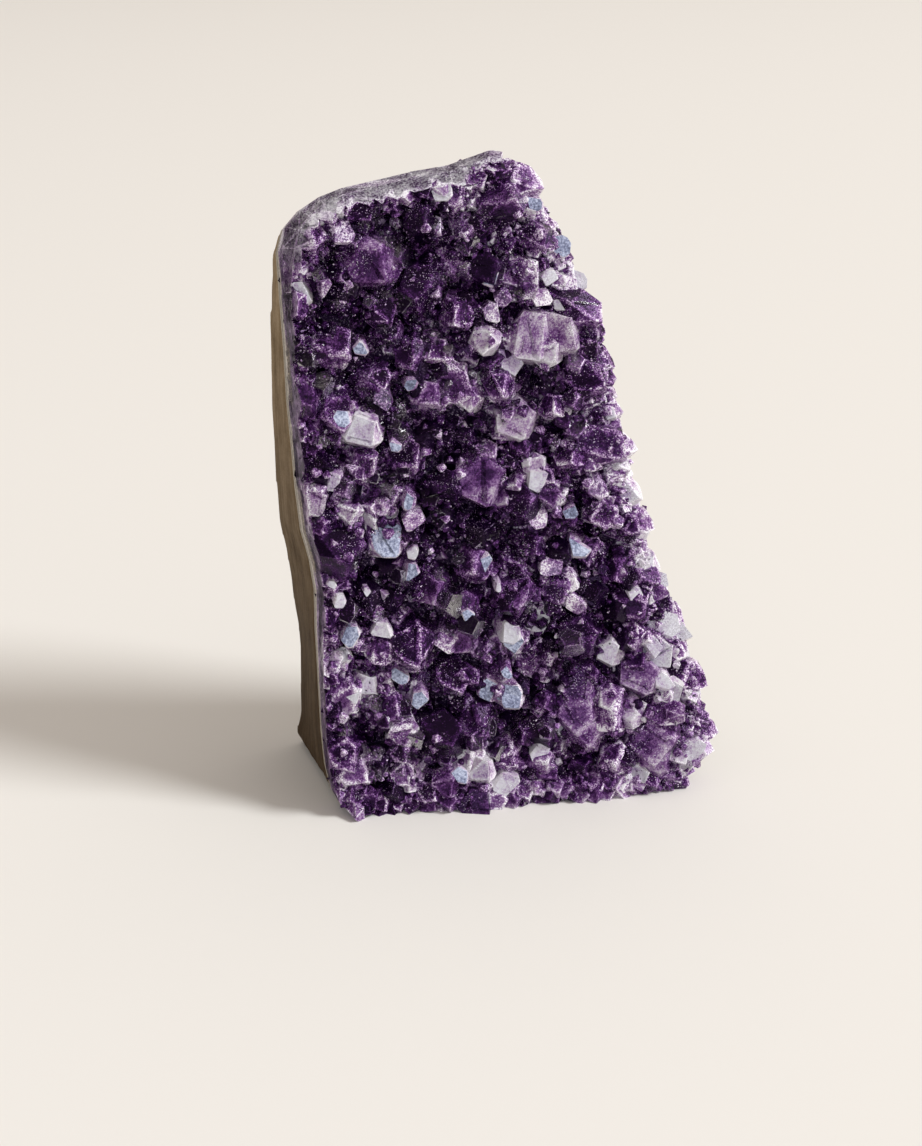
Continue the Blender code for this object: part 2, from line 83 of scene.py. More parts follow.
# Across, up, radius and tip in mm, turned to the right and upwards in degrees, and how it looks
LARGE_CRYSTALS = (
    (33.0, 75.5, 4.7, 6.5, -14, 8, "pale"), (36.0, 75.5, 4.7, 6.5, 12, 2, "pale"),
    (34.5, 73.5, 3.3, 5.0, 0, -14, "pale"), (29.8, 62.0, 4.0, 5.8, 2, 8, "pale"),
    (4.3, 62.4, 3.4, 6.4, -12, 10, "white"), (7.0, 44.5, 3.8, 5.6, 4, 18, "icy"),
    (23.5, 53.0, 4.7, 6.5, -6, 12, "bright"), (32.0, 55.5, 2.2, 3.9, 20, -4, "pale"),
    (15.0, 66.5, 3.1, 4.8, 2, -8, "bright"), (20.0, 68.5, 3.8, 5.6, 26, -10, "lilac"),
    (0.0, 65.0, 3.6, 5.4, 8, 24, "violet"), (39.0, 56.0, 3.4, 5.2, -12, -10, "smoky"),
    (43.5, 57.5, 4.7, 6.5, 10, 4, "deep"), (28.5, 72.0, 2.5, 4.3, 8, 20, "white"),
    (17.0, 73.5, 2.7, 4.4, -8, -10, "lilac"), (8.0, 80.5, 3.1, 4.8, 24, 8, "smoky"),
    (6.5, 88.0, 5.1, 6.9, -6, 2, "bright"), (-3.0, 92.0, 3.3, 5.0, 8, 6, "violet"),
    (-5.5, 83.0, 2.5, 4.3, 18, -20, "white"), (20.0, 98.0, 3.6, 5.4, 10, -10, "lilac"),
    (28.0, 97.0, 4.5, 6.3, 6, -16, "violet"), (30.5, 99.0, 4.0, 5.8, 18, 20, "violet"),
    (33.5, 91.0, 3.1, 4.8, -14, 10, "deep"), (31.5, 84.5, 4.0, 5.8, 12, 6, "lilac"),
    (39.5, 79.0, 4.3, 6.2, 16, 10, "violet"), (20.5, 80.0, 3.3, 5.0, -18, 12, "smoky"),
    (0.0, 75.0, 3.8, 5.6, 18, -8, "smoky"), (13.0, 73.5, 3.3, 5.0, -6, 14, "violet"),
    (-5.5, 66.5, 4.0, 5.8, 14, -8, "violet"), (4.5, 56.5, 3.0, 4.6, 10, -20, "lilac"),
    (-0.5, 54.5, 2.2, 3.9, -14, 16, "white"), (11.0, 57.5, 3.6, 5.4, 12, -6, "lilac"),
    (7.0, 51.5, 3.6, 5.4, -10, 14, "lilac"), (-5.0, 51.0, 3.4, 5.2, 16, 10, "lilac"),
    (1.5, 49.0, 2.5, 4.3, -8, -12, "lilac"), (17.0, 52.5, 3.4, 5.2, 4, -16, "deep"),
    (-1.0, 43.0, 5.4, 7.3, 12, -4, "deep"), (11.5, 46.0, 2.5, 4.3, 14, 16, "smoky"),
    (30.0, 49.5, 4.0, 5.8, -12, 8, "deep"), (21.5, 39.5, 3.4, 5.2, -8, -6, "violet"),
    (35.5, 50.5, 2.9, 4.6, 20, -14, "lilac"), (43.5, 47.0, 3.3, 5.0, -12, 12, "lilac"),
    (47.0, 50.0, 2.9, 4.6, 18, 6, "white"), (47.0, 56.5, 3.3, 5.0, 18, -6, "violet"),
    (44.5, 71.0, 2.9, 4.6, 22, 12, "lilac"), (44.0, 76.0, 2.5, 4.3, 24, 16, "lilac"),
    (41.5, 68.0, 4.0, 5.8, 10, -12, "violet"), (49.0, 44.5, 3.3, 5.0, 22, 12, "violet"),
    (28.5, 34.0, 4.3, 6.2, 2, 6, "violet"), (36.0, 35.0, 3.3, 5.0, -2, -8, "lilac"),
    (46.5, 37.5, 3.1, 4.8, -20, 8, "violet"), (50.0, 35.5, 2.9, 4.6, 10, 0, "violet"),
    (51.0, 38.0, 2.7, 4.4, 16, 18, "white"), (39.0, 27.0, 4.3, 6.2, 6, 10, "deep"),
    (48.0, 31.5, 4.0, 5.8, 8, -10, "lilac"), (55.0, 29.0, 3.1, 4.8, 22, 12, "lilac"),
    (44.5, 24.0, 2.7, 4.4, -10, 8, "white"), (52.5, 23.0, 2.9, 4.6, 8, 10, "white"),
    (49.5, 19.5, 4.0, 5.8, -4, 4, "bright"), (57.5, 18.5, 3.4, 5.2, 20, 10, "smoky"),
    (54.5, 17.0, 2.7, 4.4, 10, -12, "white"), (39.5, 19.0, 3.6, 5.4, -10, 10, "bright"),
    (38.5, 14.0, 4.0, 5.8, -12, 0, "bright"), (39.5, 10.5, 3.6, 5.4, -8, -18, "bright"),
    (43.5, 14.5, 4.3, 6.2, 4, 8, "smoky"), (48.0, 13.5, 2.7, 4.4, 10, -14, "lilac"),
    (53.5, 13.5, 3.4, 5.2, 12, 6, "lilac"), (62.0, 9.0, 3.3, 5.0, 24, 0, "lilac"),
    (51.5, 8.5, 5.1, 6.9, -2, 2, "bright"), (59.0, 6.5, 3.4, 5.2, 18, -8, "bright"),
    (45.0, 6.0, 3.1, 4.8, -12, -12, "smoky"), (51.5, 5.0, 3.6, 5.4, 4, -18, "bright"),
    (19.5, 28.0, 3.1, 4.8, 8, 8, "bright"), (11.0, 27.0, 4.7, 6.5, 6, 12, "smoky"),
    (6.0, 26.5, 2.9, 4.6, -12, 16, "lilac"), (4.5, 20.5, 3.6, 5.4, 10, 16, "lilac"),
    (6.0, 17.0, 3.4, 5.2, 6, -8, "lilac"), (9.0, 12.5, 3.3, 5.0, -6, -12, "lilac"),
    (15.0, 11.5, 4.9, 6.7, 6, -10, "deep"), (28.5, 27.0, 2.3, 4.1, -18, 14, "icy"),
    (24.0, 19.5, 2.3, 4.1, -22, 16, "icy"), (27.0, 18.5, 2.9, 4.6, 4, 4, "icy"),
    (21.5, 14.5, 3.6, 5.4, 8, 10, "violet"), (26.5, 8.0, 3.1, 4.8, -6, -14, "lilac"),
    (32.0, 11.5, 3.6, 5.4, 4, -8, "deep"), (-1.0, 10.0, 4.0, 5.8, 8, 10, "smoky"),
    (0.0, 7.0, 3.4, 5.2, 10, -6, "lilac"), (9.0, 6.0, 2.9, 4.6, 12, -8, "lilac"),
    (16.0, 4.0, 3.3, 5.0, -6, -14, "bright"), (-0.5, 19.5, 3.4, 5.2, -10, 6, "lilac"),
    (31.5, 6.0, 3.3, 5.0, 8, -20, "violet"), (-2.0, 32.5, 3.1, 4.8, -8, 10, "smoky"),
    (25.0, 86.5, 3.6, 5.4, 4, 8, "deep"), (15.0, 94.0, 3.6, 5.4, 6, -6, "deep"),
    (14.5, 84.0, 4.0, 5.8, -10, 6, "violet"),
)  # fmt: skip
FILL_CRYSTALS = 66
FILL_RADII = (4.2 * MM, 2.5 * MM)
EDGE_CRYSTALS = 22
TRIES = 60
SEED = 23
END_SLOPE = math.radians(51.8)
ROOT = 3.6 * MM

# Small crystals with one broad flat face to the front, whose white and icy faces are painted highlights
# and reflections: across, up and the face's radius in mm
FACETS = {
    "icy": (
        (9.5, 60.5, 0.9), (11.0, 51.5, 1.2), (11.0, 39.5, 1.2), (23.0, 40.5, 1.5), (20.0, 32.5, 1.0),
        (12.0, 69.5, 0.9), (1.0, 64.0, 1.4), (27.0, 18.5, 1.7), (1.0, 30.0, 1.5), (26.5, 23.0, 0.8),
        (8.5, 23.0, 1.2), (12.0, 19.0, 1.1), (18.0, 6.5, 1.1), (4.5, 75.5, 1.0), (38.0, 48.0, 1.0),
        (39.0, 42.0, 1.7), (44.0, 56.5, 1.5), (36.0, 89.5, 1.5), (25.5, 86.0, 1.3), (32.0, 96.5, 1.0),
    ),
    "white": (
        (26.0, 3.5, 1.9), (32.3, 53.5, 1.7), (4.4, 62.6, 2.2), (11.5, 43.0, 0.9),
        (-1.0, 36.0, 0.9), (6.0, 30.5, 1.4), (27.0, 29.0, 1.6), (35.0, 85.5, 1.1),
        (38.5, 84.5, 1.3), (31.5, 8.5, 1.5), (53.0, 35.0, 1.2), (53.0, 28.0, 1.8), (55.5, 26.5, 1.7),
        (51.0, 25.0, 1.3), (53.0, 19.5, 1.6), (0.0, 20.5, 1.3), (18.5, 99.5, 1.5), (21.0, 101.5, 1.1),
        (-2.0, 38.5, 0.7), (3.5, 37.0, 0.5), (25.5, 37.0, 0.6), (48.0, 34.0, 1.2), (57.0, 7.0, 1.6),
    ),
    "lilac": (
        (26.0, 80.0, 1.3), (28.0, 82.5, 1.1), (34.0, 82.0, 1.3), (42.5, 52.0, 1.5), (32.5, 48.0, 1.8),
        (12.0, 48.0, 1.5), (34.5, 39.0, 1.5), (37.5, 37.0, 1.5), (38.5, 33.5, 1.5), (21.0, 10.5, 1.6),
        (-5.0, 69.0, 1.3), (-1.0, 85.0, 1.1), (16.5, 28.0, 1.6), (37.5, 83.5, 1.6),
    ),
    "smoky": ((7.5, 67.5, 1.5), (2.0, 93.5, 1.5)),
}  # fmt: skip
FACET_TIP = 4.1 * MM
FACET_GROWTH = 1.3  # how much wider a crystal is than its flat face

# Painted shade in the crust's hollows, and lighter areas of the crust: across, up and radius in mm, and
# the change
HOLLOW_SHADE_AND_PALE_SPOTS = (
    (5, 36, 5, -0.30), (11, 98, 5, -0.25), (17, 97, 4, -0.25), (26, 11, 4, -0.38), (11, 42, 4, -0.25),
    (16, 48, 5, -0.28), (39, 43, 4, -0.38), (9, 65, 3, -0.22), (-4, 57, 4, -0.22), (15, 58, 4, -0.26),
    (38, 37, 4, -0.25), (47, 33, 4, -0.34), (-5, 88, 4, 0.08), (14, 83, 5, -0.18), (26, 80, 4, -0.18),
    (20, 71, 3, -0.30), (12, 70, 3, -0.20), (12, 18, 3, -0.15), (17, 23, 4, -0.15), (19, 34, 4, -0.15),
    (52, 11, 3, -0.18), (59, 10, 3, -0.14), (46, 9, 3, -0.20), (50, 43, 3, -0.12), (34, 81, 3, -0.12),
    (23, 6, 5, 0.32), (48, 16, 5, 0.28), (56, 6, 4, 0.34), (50, 4, 2.5, -0.08), (56, 24, 5, 0.28),
    (47, 53, 4, 0.26), (51, 39, 3, 0.24), (45, 60, 4, 0.20), (5, 48, 4, 0.26), (50, 26, 3, 0.20),
    (45, 28, 3, -0.16), (33, 6, 4, 0.20), (46, 4, 4, 0.28), (-4, 43, 3, 0.18), (-4, 51, 3, 0.10),
    (30, 62, 4, 0.20), (53, 16, 3, 0.20), (-5, 77, 4, -0.22), (22, 67, 3, 0.20), (-3, 24, 4, 0.24),
    (6, 21, 3, 0.14), (31, 53, 3, 0.24), (36, 10, 3, 0.18), (47, 45, 3, 0.26), (33, 98, 3, 0.28),
    (38, 84, 3, 0.26), (22, 22, 3, 0.22), (1, 4, 3, 0.20), (7, 48, 3, 0.12), (54, 29, 3, -0.12),
    (0, 71, 3, -0.20), (42, 74, 3, -0.22), (-5, 56, 3, -0.15), (31, 69, 3, -0.28), (9, 52, 3, -0.22),
    (24, 44, 3.5, -0.30), (2, 44, 3, -0.22), (2, 83, 3, -0.22), (16, 65, 3, 0.20), (25, 66, 3, 0.20),
    (15, 52, 3, 0.14), (36, 91, 3, 0.22), (52, 36, 3, 0.16),
)  # fmt: skip

# How wide the crystals' edges are rounded, and how wide the rims of their faces are
MAIN_EDGE = 0.42 * MM
RIM_EDGE = 0.20 * MM
GAP_EDGE = 0.16 * MM
FACET_EDGE = 0.06 * MM
MAIN_INSET = 0.24
SMALL_INSET = 0.20

# How much of a rim's frost covers a crystal whose faces have no rim of their own
FACET_RIM = 0.7
SEED_RIM = 0.6

# Finer crystals that only the looks have. For the gaps: how far above the face that the crystals
# grow from a place still is one, and how often a place above that is taken all the same.
RIM_SPACING = 2.4 * MM
GAP_CRYSTALS = 480
GAP_RADII = (1.2 * MM, 2.7 * MM)
GAP_PLACES = (2.2 * MM, 0.01)
FINELY_ROUNDED = 1.5 * MM  # a gap crystal above this radius has finer edges
SMALL_CRYSTALS = 1150
SMALL_RADII = (0.45 * MM, 1.2 * MM)
SMALL_PLACES = (1.9 * MM, 0.03)
FINE_CRYSTALS = 7000
FINE_RADII = (0.08 * MM, 0.24 * MM)
FINE_PLACES = (2.6 * MM, 0.06)
CROWDING = 0.62  # how near two crystals may stand, as a share of their radii together
RAY_START = -20 * MM  # in front of every crystal

# The rock's natural side: how deep its lumps are and how wide, and its gas hollows
ROCK_GRID = 0.8 * MM
LUMPS = ((0.55, 5 * MM), (0.35, 1.7 * MM), (0.18, 0.8 * MM))
HOLLOW_SPACING = 3.4 * MM
HOLLOW_DEPTH = 0.9

# How a crystal looks: how pale it is, how frosted, and how much its broad face shows a painted
# reflection of a window, in a blue white
LOOKS = {
    "deep": (0.18, 0.35, 0.0),
    "violet": (0.34, 0.55, 0.0),
    "bright": (0.54, 0.35, 0.0),
    "smoky": (0.30, 1.05, 0.05),
    "lilac": (0.48, 1.05, 0.0),
    "pale": (0.80, 0.35, 0.0),
    "white": (0.96, 0.45, 0.26),
    "icy": (0.75, 0.60, 1.0),
}
MAIN_SHARES = {
    "deep": 30, "violet": 28, "bright": 7, "smoky": 14, "lilac": 18, "pale": 2, "white": 3, "icy": 1,
}
# The small crystals' shares lean to the deep kind, which darkens the gaps as painted shade
SMALL_SHARES = {
    "deep": 58, "violet": 22, "bright": 3, "smoky": 8, "lilac": 8, "pale": 1, "white": 0.6, "icy": 0.4,
}
FLAT_FACED = ("pale", "white", "icy", "lilac", "bright")
TONE_SHARES = {"pale": 0.0, "white": 0.0, "icy": 0.0, "bright": 0.5}  # how much tone a large one takes
FRONT_FACE = Vector((-0.18, -0.93, 0.31))  # the way that their broad faces look
FRONT_WOBBLE = 0.22

# The place of the front left foot, worked out from the lining, which has no crystals on it
lining_low, lining_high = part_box("chalcedony_lining")
WIDEST = max(x for x, z in BROKEN_EDGE) * MM
FOOT = Vector((lining_high[0] - (WIDEST - LAYER_INSET), lining_low[1] - LINING_FRONT, 0.0))


def place(across, depth, up):
    """The point in space of a place on the piece."""
    return FOOT + Vector((across, depth + up * math.tan(LEAN), up))


def smooth(low, high, value):
    share = min(max((value - low) / (high - low), 0.0), 1.0)
    return share * share * (3 - 2 * share)


def edge_across(edge, up):
    points = sorted((z * MM, x * MM) for x, z in edge)
    for (low, first), (high, second) in zip(points, points[1:]):
        if low <= up <= high:
            return first + (second - first) * (up - low) / max(high - low, 1e-9)
    return points[0][1] if up < points[0][0] else points[-1][1]


def in_metres(points):
    return [Vector(point) * MM for point in points]


def even_points(points, spacing):
    made = []
    for start, end in zip(points, points[1:]):
        steps = max(1, round((end - start).length / spacing))
        made += [start.lerp(end, k / steps) for k in range(steps)]
    return made + [points[-1]]


def side_flare(up):
    foot, low, high = SIDE_FLARES
    return foot + (low - foot) * smooth(0, 8 * MM, up) + (high - low) * smooth(20 * MM, 42 * MM, up)


def outline(depth, reach=0.0, top_round=0.0, spacing=5.0 * MM):
    left = even_points(in_metres(GROUND_EDGE), spacing)
    right = even_points(in_metres(BROKEN_EDGE), spacing)
    points = []
    for p in left:
        out = side_flare(p.y) * depth * (1 - smooth(92 * MM, 100 * MM, p.y))
        inward = Vector((smooth(4 * MM, -7 * MM, p.x), -smooth(88 * MM, 99 * MM, p.y)))
        moved = p + Vector((-out, 0)) + inward * top_round * smooth(80 * MM, 92 * MM, p.y)
        points.append((moved.x, moved.y))
    points += [(p.x + reach, p.y) for p in right]
    fall = TOP_FALL * max(depth, 0.0) / HEIGHT
    return [place(x, depth, z * (1 - fall)) for x, z in points]


def keep_side(bm, point, outward):
    """Cuts away what lies beyond a plane, closes the cut, and returns the faces that close it."""
    cut = bmesh.ops.bisect_plane(
        bm,
        geom=bm.verts[:] + bm.edges[:] + bm.faces[:],
        plane_co=point,
        plane_no=outward,
        clear_outer=True,
    )
    edges = [g for g in cut["geom_cut"] if isinstance(g, bmesh.types.BMEdge)]
    if not edges:
        return []
    return bmesh.ops.edgeloop_fill(bm, edges=edges)["faces"]


def loft(rings):
    bm = bmesh.new()
    loops = [[bm.verts.new(point) for point in ring] for ring in rings]
    for first, second in zip(loops, loops[1:]):
        for k in range(len(first)):
            after = (k + 1) % len(first)
            bm.faces.new((first[k], first[after], second[after], second[k]))
    bm.faces.new(loops[0])
    bm.faces.new(loops[-1])
    bmesh.ops.recalc_face_normals(bm, faces=bm.faces)
    return bm


# ---------------------------------------------------------------------------------------------
# Crystals


def spoke(angle, rise=0.0):
    return Vector((math.cos(angle), math.sin(angle), rise))


def make_crystal(rng, radius, tip, plain):
    """One quartz crystal with its axis up Z: its root below the origin and its tip above it."""
    bm = bmesh.new()
    height = tip + ROOT
    bmesh.ops.create_cube(bm, size=1.0)
    bm.transform(Matrix.Diagonal((4 * radius, 4 * radius, height, 1)))
    bm.transform(Matrix.Translation((0, 0, tip - height / 2)))
    turn = rng.uniform(0, math.tau / 6)
    summit = Vector((rng.uniform(-0.16, 0.16), rng.uniform(-0.16, 0.16), 0)) * radius
    for k in range(6):
        outward = spoke(turn + k * math.tau / 6)
        keep_side(bm, outward * radius * rng.uniform(0.80, 1.0), outward)
    for k in range(0, 6, 2 if plain else 1):
        sloping = spoke(turn + k * math.tau / 6) * math.sin(END_SLOPE)
        sloping += Vector((0, 0, math.cos(END_SLOPE)))
        small_face = rng.uniform(0.10, 0.42) if k % 2 else rng.uniform(-0.08, 0.04)
        peak = summit + Vector((0, 0, tip - 0.10 * radius + small_face * radius))
        keep_side(bm, peak, sloping)
    return bm


def growth_place(across, up):
    """Where a crystal grows from, and which way: to the front, or round the broken edge."""
    wall = edge_across(BROKEN_EDGE, up) - CRYSTAL_REACH
    round_over = smooth(5.5 * MM, -2.5 * MM, wall - across)
    on_ridge = smooth(95 * MM, 103 * MM, up) * smooth(22 * MM, 29 * MM, across)
    swell = 1.0 * MM * noise.noise(Vector((across, 0, up)) / (15 * MM))
    start = place(min(across, wall), swell + 2.0 * MM * round_over ** 2, up)
    turn = math.radians(54) * round_over
    outward = Vector((math.sin(turn), -math.cos(turn), 0.7 * on_ridge - 0.4 * math.tan(LEAN)))
    return start, outward.normalized()


def turned_to(point, axis):
    """The way from upright at the origin to standing at a point along an axis."""
    return Matrix.Translation(point) @ axis.to_track_quat("Z", "X").to_matrix().to_4x4()


def aim(start, outward, right_deg, up_deg):
    """As turned_to, but turned to the right and upwards from the way outward."""
    sideways = Vector((0, 0, 1)).cross(-outward).normalized()
    tilted = outward.copy()
    tilted.rotate(Matrix.Rotation(math.radians(right_deg), 3, Vector((0, 0, 1))))
    tilted.rotate(Matrix.Rotation(math.radians(up_deg), 3, -sideways))
    return turned_to(start, tilted)


def crystal_plan(rng):
    plan = [tuple(v * MM for v in row[:4]) + row[4:6] for row in LARGE_CRYSTALS]
    for k in range(EDGE_CRYSTALS):
        up = HEIGHT * (0.03 + 0.93 * (k + rng.uniform(0.2, 0.8)) / EDGE_CRYSTALS)
        across = edge_across(BROKEN_EDGE, up) - rng.uniform(0.6, 2.0) * MM
        radius = rng.uniform(2.6, 3.6) * MM
        plan.append((across, up, radius, radius * rng.uniform(0.8, 1.1), 0, rng.uniform(-30, 30)))
    for k in range(FILL_CRYSTALS):
        share = k / FILL_CRYSTALS
        radius = FILL_RADII[0] + (FILL_RADII[1] - FILL_RADII[0]) * share ** 0.6
        best = (-math.inf, 0.0, 0.0)
        for _ in range(TRIES):
            up = rng.uniform(0.0, HEIGHT)
            left = edge_across(SIDE_EDGE, up)
            across = rng.uniform(left, edge_across(BROKEN_EDGE, up) - 1.0 * MM)
            room = min(math.hypot(across - a, up - u) - r for a, u, r, *_ in plan)
            best = max(best, (room, across, up))
        tip = radius * rng.uniform(0.8, 1.4)
        plan.append((*best[1:], radius, tip, rng.uniform(-28, 28), rng.uniform(-28, 28)))
    return plan


def make_envelope():
    """The space inside the ground side and top, the sawn foot and the lining."""
    rings = []
    for depth, ground in TOP_ROUNDING:
        ring = outline(depth * MM, reach=12 * MM, top_round=ground * MM)
        for point in ring:
            past_ridge = smooth(24 * MM, 30 * MM, point.x - FOOT.x) * smooth(98 * MM, 102 * MM, point.z)
            point.z += 4 * MM * past_ridge
        rings.append(ring)
    bm = loft(rings)
    bmesh.ops.triangulate(bm, faces=bm.faces)
    return bm


class Grinder:
    """Grinds crystals back to the envelope."""

    def __init__(self):
        bm = make_envelope()
        self.tree = BVHTree.FromBMesh(bm)
        self.envelope = loose_object(bm, "envelope")

    def outside(self, point):
        near, normal, _, _ = self.tree.find_nearest(point)
        return (point - near).dot(normal) > 1e-6

    def grind(self, bm):
        """Returns the ground crystal, whose cut faces are marked, or None where nothing is left."""
        if not any(self.outside(v.co) for v in bm.verts):
            return bm
        uncut = loose_object(bm, "uncut")
        cut = uncut.modifiers.new("grind", "BOOLEAN")
        cut.operation = "INTERSECT"
        cut.solver = "EXACT"
        cut.object = self.envelope
        bm = bmesh.new()
        bm.from_object(uncut, bpy.context.evaluated_depsgraph_get())
        mesh = uncut.data
        bpy.data.objects.remove(uncut)
        bpy.data.meshes.remove(mesh)
        add_layers(bm)
        ground = bm.faces.layers.float.get("ground")
        for face in bm.faces:
            near = self.tree.find_nearest(face.calc_center_median())
            face[ground] = float(near[3] < 2e-6)
        bmesh.ops.dissolve_limit(bm, angle_limit=0.001, verts=bm.verts, edges=bm.edges)
        return bm if len(bm.faces) > 3 else None

    def finish(self):
        bpy.data.objects.remove(self.envelope)


def any_way(look):
    """A random way, up to 1 in each direction."""
    return Vector([look.uniform(-1, 1) for _ in range(3)])


def add_layers(bm):
    for layers, names in ((bm.verts.layers, ("rim", "rise")),
                          (bm.faces.layers, ("pale", "frost", "painted_reflection", "ground"))):
        for name in names:
            if layers.float.get(name) is None:
                layers.float.new(name)


def cut_broad_face(bm, look, radius, painted_reflection, low=0.40, high=0.62):
    """Gives a crystal one broad flat face that looks to the front, with its share of painted
    reflection.
    """
    flat = (FRONT_FACE + FRONT_WOBBLE * any_way(look)).normalized()
    top = max(v.co.dot(flat) for v in bm.verts)
    layer = bm.faces.layers.float.get("painted_reflection")
    for face in keep_side(bm, flat * (top - look.uniform(low, high) * radius), flat):
        face[layer] = painted_reflection


def shade_and_tone_at(across, up):
    """How much lighter, or darker with painted shade, the crust is at a place."""
    change = 0.0
    for a, u, radius, amount in HOLLOW_SHADE_AND_PALE_SPOTS:
        away = math.hypot(across / MM - a, up / MM - u)
        change += amount * smooth(1.5 * radius, 0.6 * radius, away)
    return change


def colour_crystal(bm, look, kind, axis, radius, tone):
    """Gives a crystal's faces and points the values that colour them."""
    pale, frost, _ = LOOKS[kind]
    pale = min(max(pale + look.uniform(-0.10, 0.10) + tone, 0.0), 1.0)
    frost = min(max(frost + look.uniform(-0.15, 0.15) + tone, 0.0), 1.2)
    pale_layer = bm.faces.layers.float.get("pale")
    frost_layer = bm.faces.layers.float.get("frost")
    rise = bm.verts.layers.float.get("rise")
    for face in bm.faces:
        face[pale_layer] = pale
        face[frost_layer] = frost
    # rise: 1 at the tip, falling towards the root, where the colour gets painted shade
    top = max(v.co.dot(axis) for v in bm.verts)
    for v in bm.verts:
        v[rise] = 1.0 + (v.co.dot(axis) - top) / (2.2 * radius)


def round_edges(bm, width, segments):
    bmesh.ops.bevel(
        bm, geom=bm.edges[:], offset=width, segments=segments, profile=0.5,
        affect="EDGES", material=-1, clamp_overlap=True,
    )


def axis_of(turned):
    return turned.to_3x3() @ Vector((0, 0, 1))


def stand(bm, turned):
    """Moves a new crystal to where it grows, and gives it the layers that colour it."""
    bm.transform(turned)
    bmesh.ops.recalc_face_normals(bm, faces=bm.faces)
    add_layers(bm)


def set_rim(bm, value):
    rim = bm.verts.layers.float.get("rim")
    for v in bm.verts:
        v[rim] = value
    return rim


def inset_faces(bm, radius, share):
    """Sets a rim off round each large face: the rim is frosted, and the middle is clear."""
    rim = set_rim(bm, 1.0)
    for face in [f for f in bm.faces if f.calc_area() > (0.35 * radius) ** 2]:
        bmesh.ops.inset_individual(
            bm, faces=[face], thickness=share * math.sqrt(face.calc_area()), use_even_offset=False
        )
        for v in face.verts:
            v[rim] = 0.0


def keep_in_box(bm, low, high):
    """Presses what would stand past the box of the solids back to it."""
    for v in bm.verts:
        for k in range(3):
            v.co[k] = min(max(v.co[k], low[k]), high[k])


def mesh_of(bm, name):
    mesh = bpy.data.meshes.new(name)
    bm.to_mesh(mesh)
    bm.free()
    return mesh


def loose_object(bm, name):
    obj = bpy.data.objects.new(name, mesh_of(bm, name))
    bpy.context.scene.collection.objects.link(obj)
    return obj


def joined(objects, name):
    """One object at the origin from many, which may share their meshes."""
    whole = loose_object(bmesh.new(), name)
    with bpy.context.temp_override(active_object=whole, selected_editable_objects=[whole] + objects):
        bpy.ops.object.join()
    return whole


def worked(grinder, bm, radius, edge, segments, inset):
    """Grinds a crystal back, rounds its edges and rims its faces. None where nothing is left."""
    bm = grinder.grind(bm)
    if bm is not None:
        round_edges(bm, edge, segments)
        inset_faces(bm, radius, inset)
    return bm


def finished(bm, look, kind, turned, radius, tone):
    """Colours a crystal, keeps it in the box and makes it an object."""
    colour_crystal(bm, look, kind, axis_of(turned), radius, tone)
    keep_in_box(bm, *frame_box)
    return loose_object(bm, "crystal")


def tree_of(*objects):
    bm = bmesh.new()
    for obj in objects:
        bm.from_mesh(obj.data)
    tree = BVHTree.FromBMesh(bm)
    bm.free()
    return tree


def chosen_kind(look, shares, across, up):
    """A kind by its share, with more lilac and white ones towards the edges."""
    to_right = smooth(11 * MM, 2 * MM, edge_across(BROKEN_EDGE, up) - across)
    to_left = smooth(5 * MM, 0, across - edge_across(SIDE_EDGE, up))
    to_top = smooth(90 * MM, 99 * MM, up)
    low_right = smooth(24 * MM, 12 * MM, up) * smooth(36 * MM, 44 * MM, across)
    light = {
        "lilac": 40 * to_right + 30 * to_left + 30 * to_top,
        "white": 12 * to_right + 2 * to_left + 6 * to_top,
        "smoky": 24 * to_right + 10 * to_left + 14 * to_top,
        "bright": 60 * low_right,
    }
    tone = shade_and_tone_at(across, up)
    light["lilac"] += max(150 * tone, 0)
    light["white"] += max(40 * tone, 0)
    # painted shade: more deep crystals where the crust is darkened
    light["deep"] = max(-400 * tone, 0)
    kinds = list(shares)
    return look.choices(kinds, [shares[k] + light.get(k, 0) for k in kinds])[0]


def grow_main_crystals(rng, look, grinder, clear):
    grown = {"amethyst": [], "quartz": []}
    for k, (across, up, radius, tip, right, lift) in enumerate(crystal_plan(rng)):
        large = k < len(LARGE_CRYSTALS)
        start, outward = growth_place(across, up)
        bm = make_crystal(rng, radius, tip, not large and rng.random() < 0.6)
        turned = aim(start, outward, right, lift)
        stand(bm, turned)
        kind = LARGE_CRYSTALS[k][6] if large else chosen_kind(look, MAIN_SHARES, across, up)
        if kind in FLAT_FACED and (large or look.random() < 0.5):
            cut_broad_face(bm, look, radius, LOOKS[kind][2])
        bm = worked(grinder, bm, radius, MAIN_EDGE, 3, MAIN_INSET)
        if bm is None:
            continue
        tone = TONE_SHARES.get(kind, 1.0) * shade_and_tone_at(across, up)
        crystal = finished(bm, look, kind, turned, radius, tone)
        if large and kind in TONE_SHARES:
            clear.append((start + axis_of(turned) * 0.8 * tip, 0.75 * radius))
        grown["quartz" if kind in ("white", "icy") else "amethyst"].append(crystal)
    return joined(grown["amethyst"], "large_crystals"), joined(grown["quartz"], "large_pale_crystals")


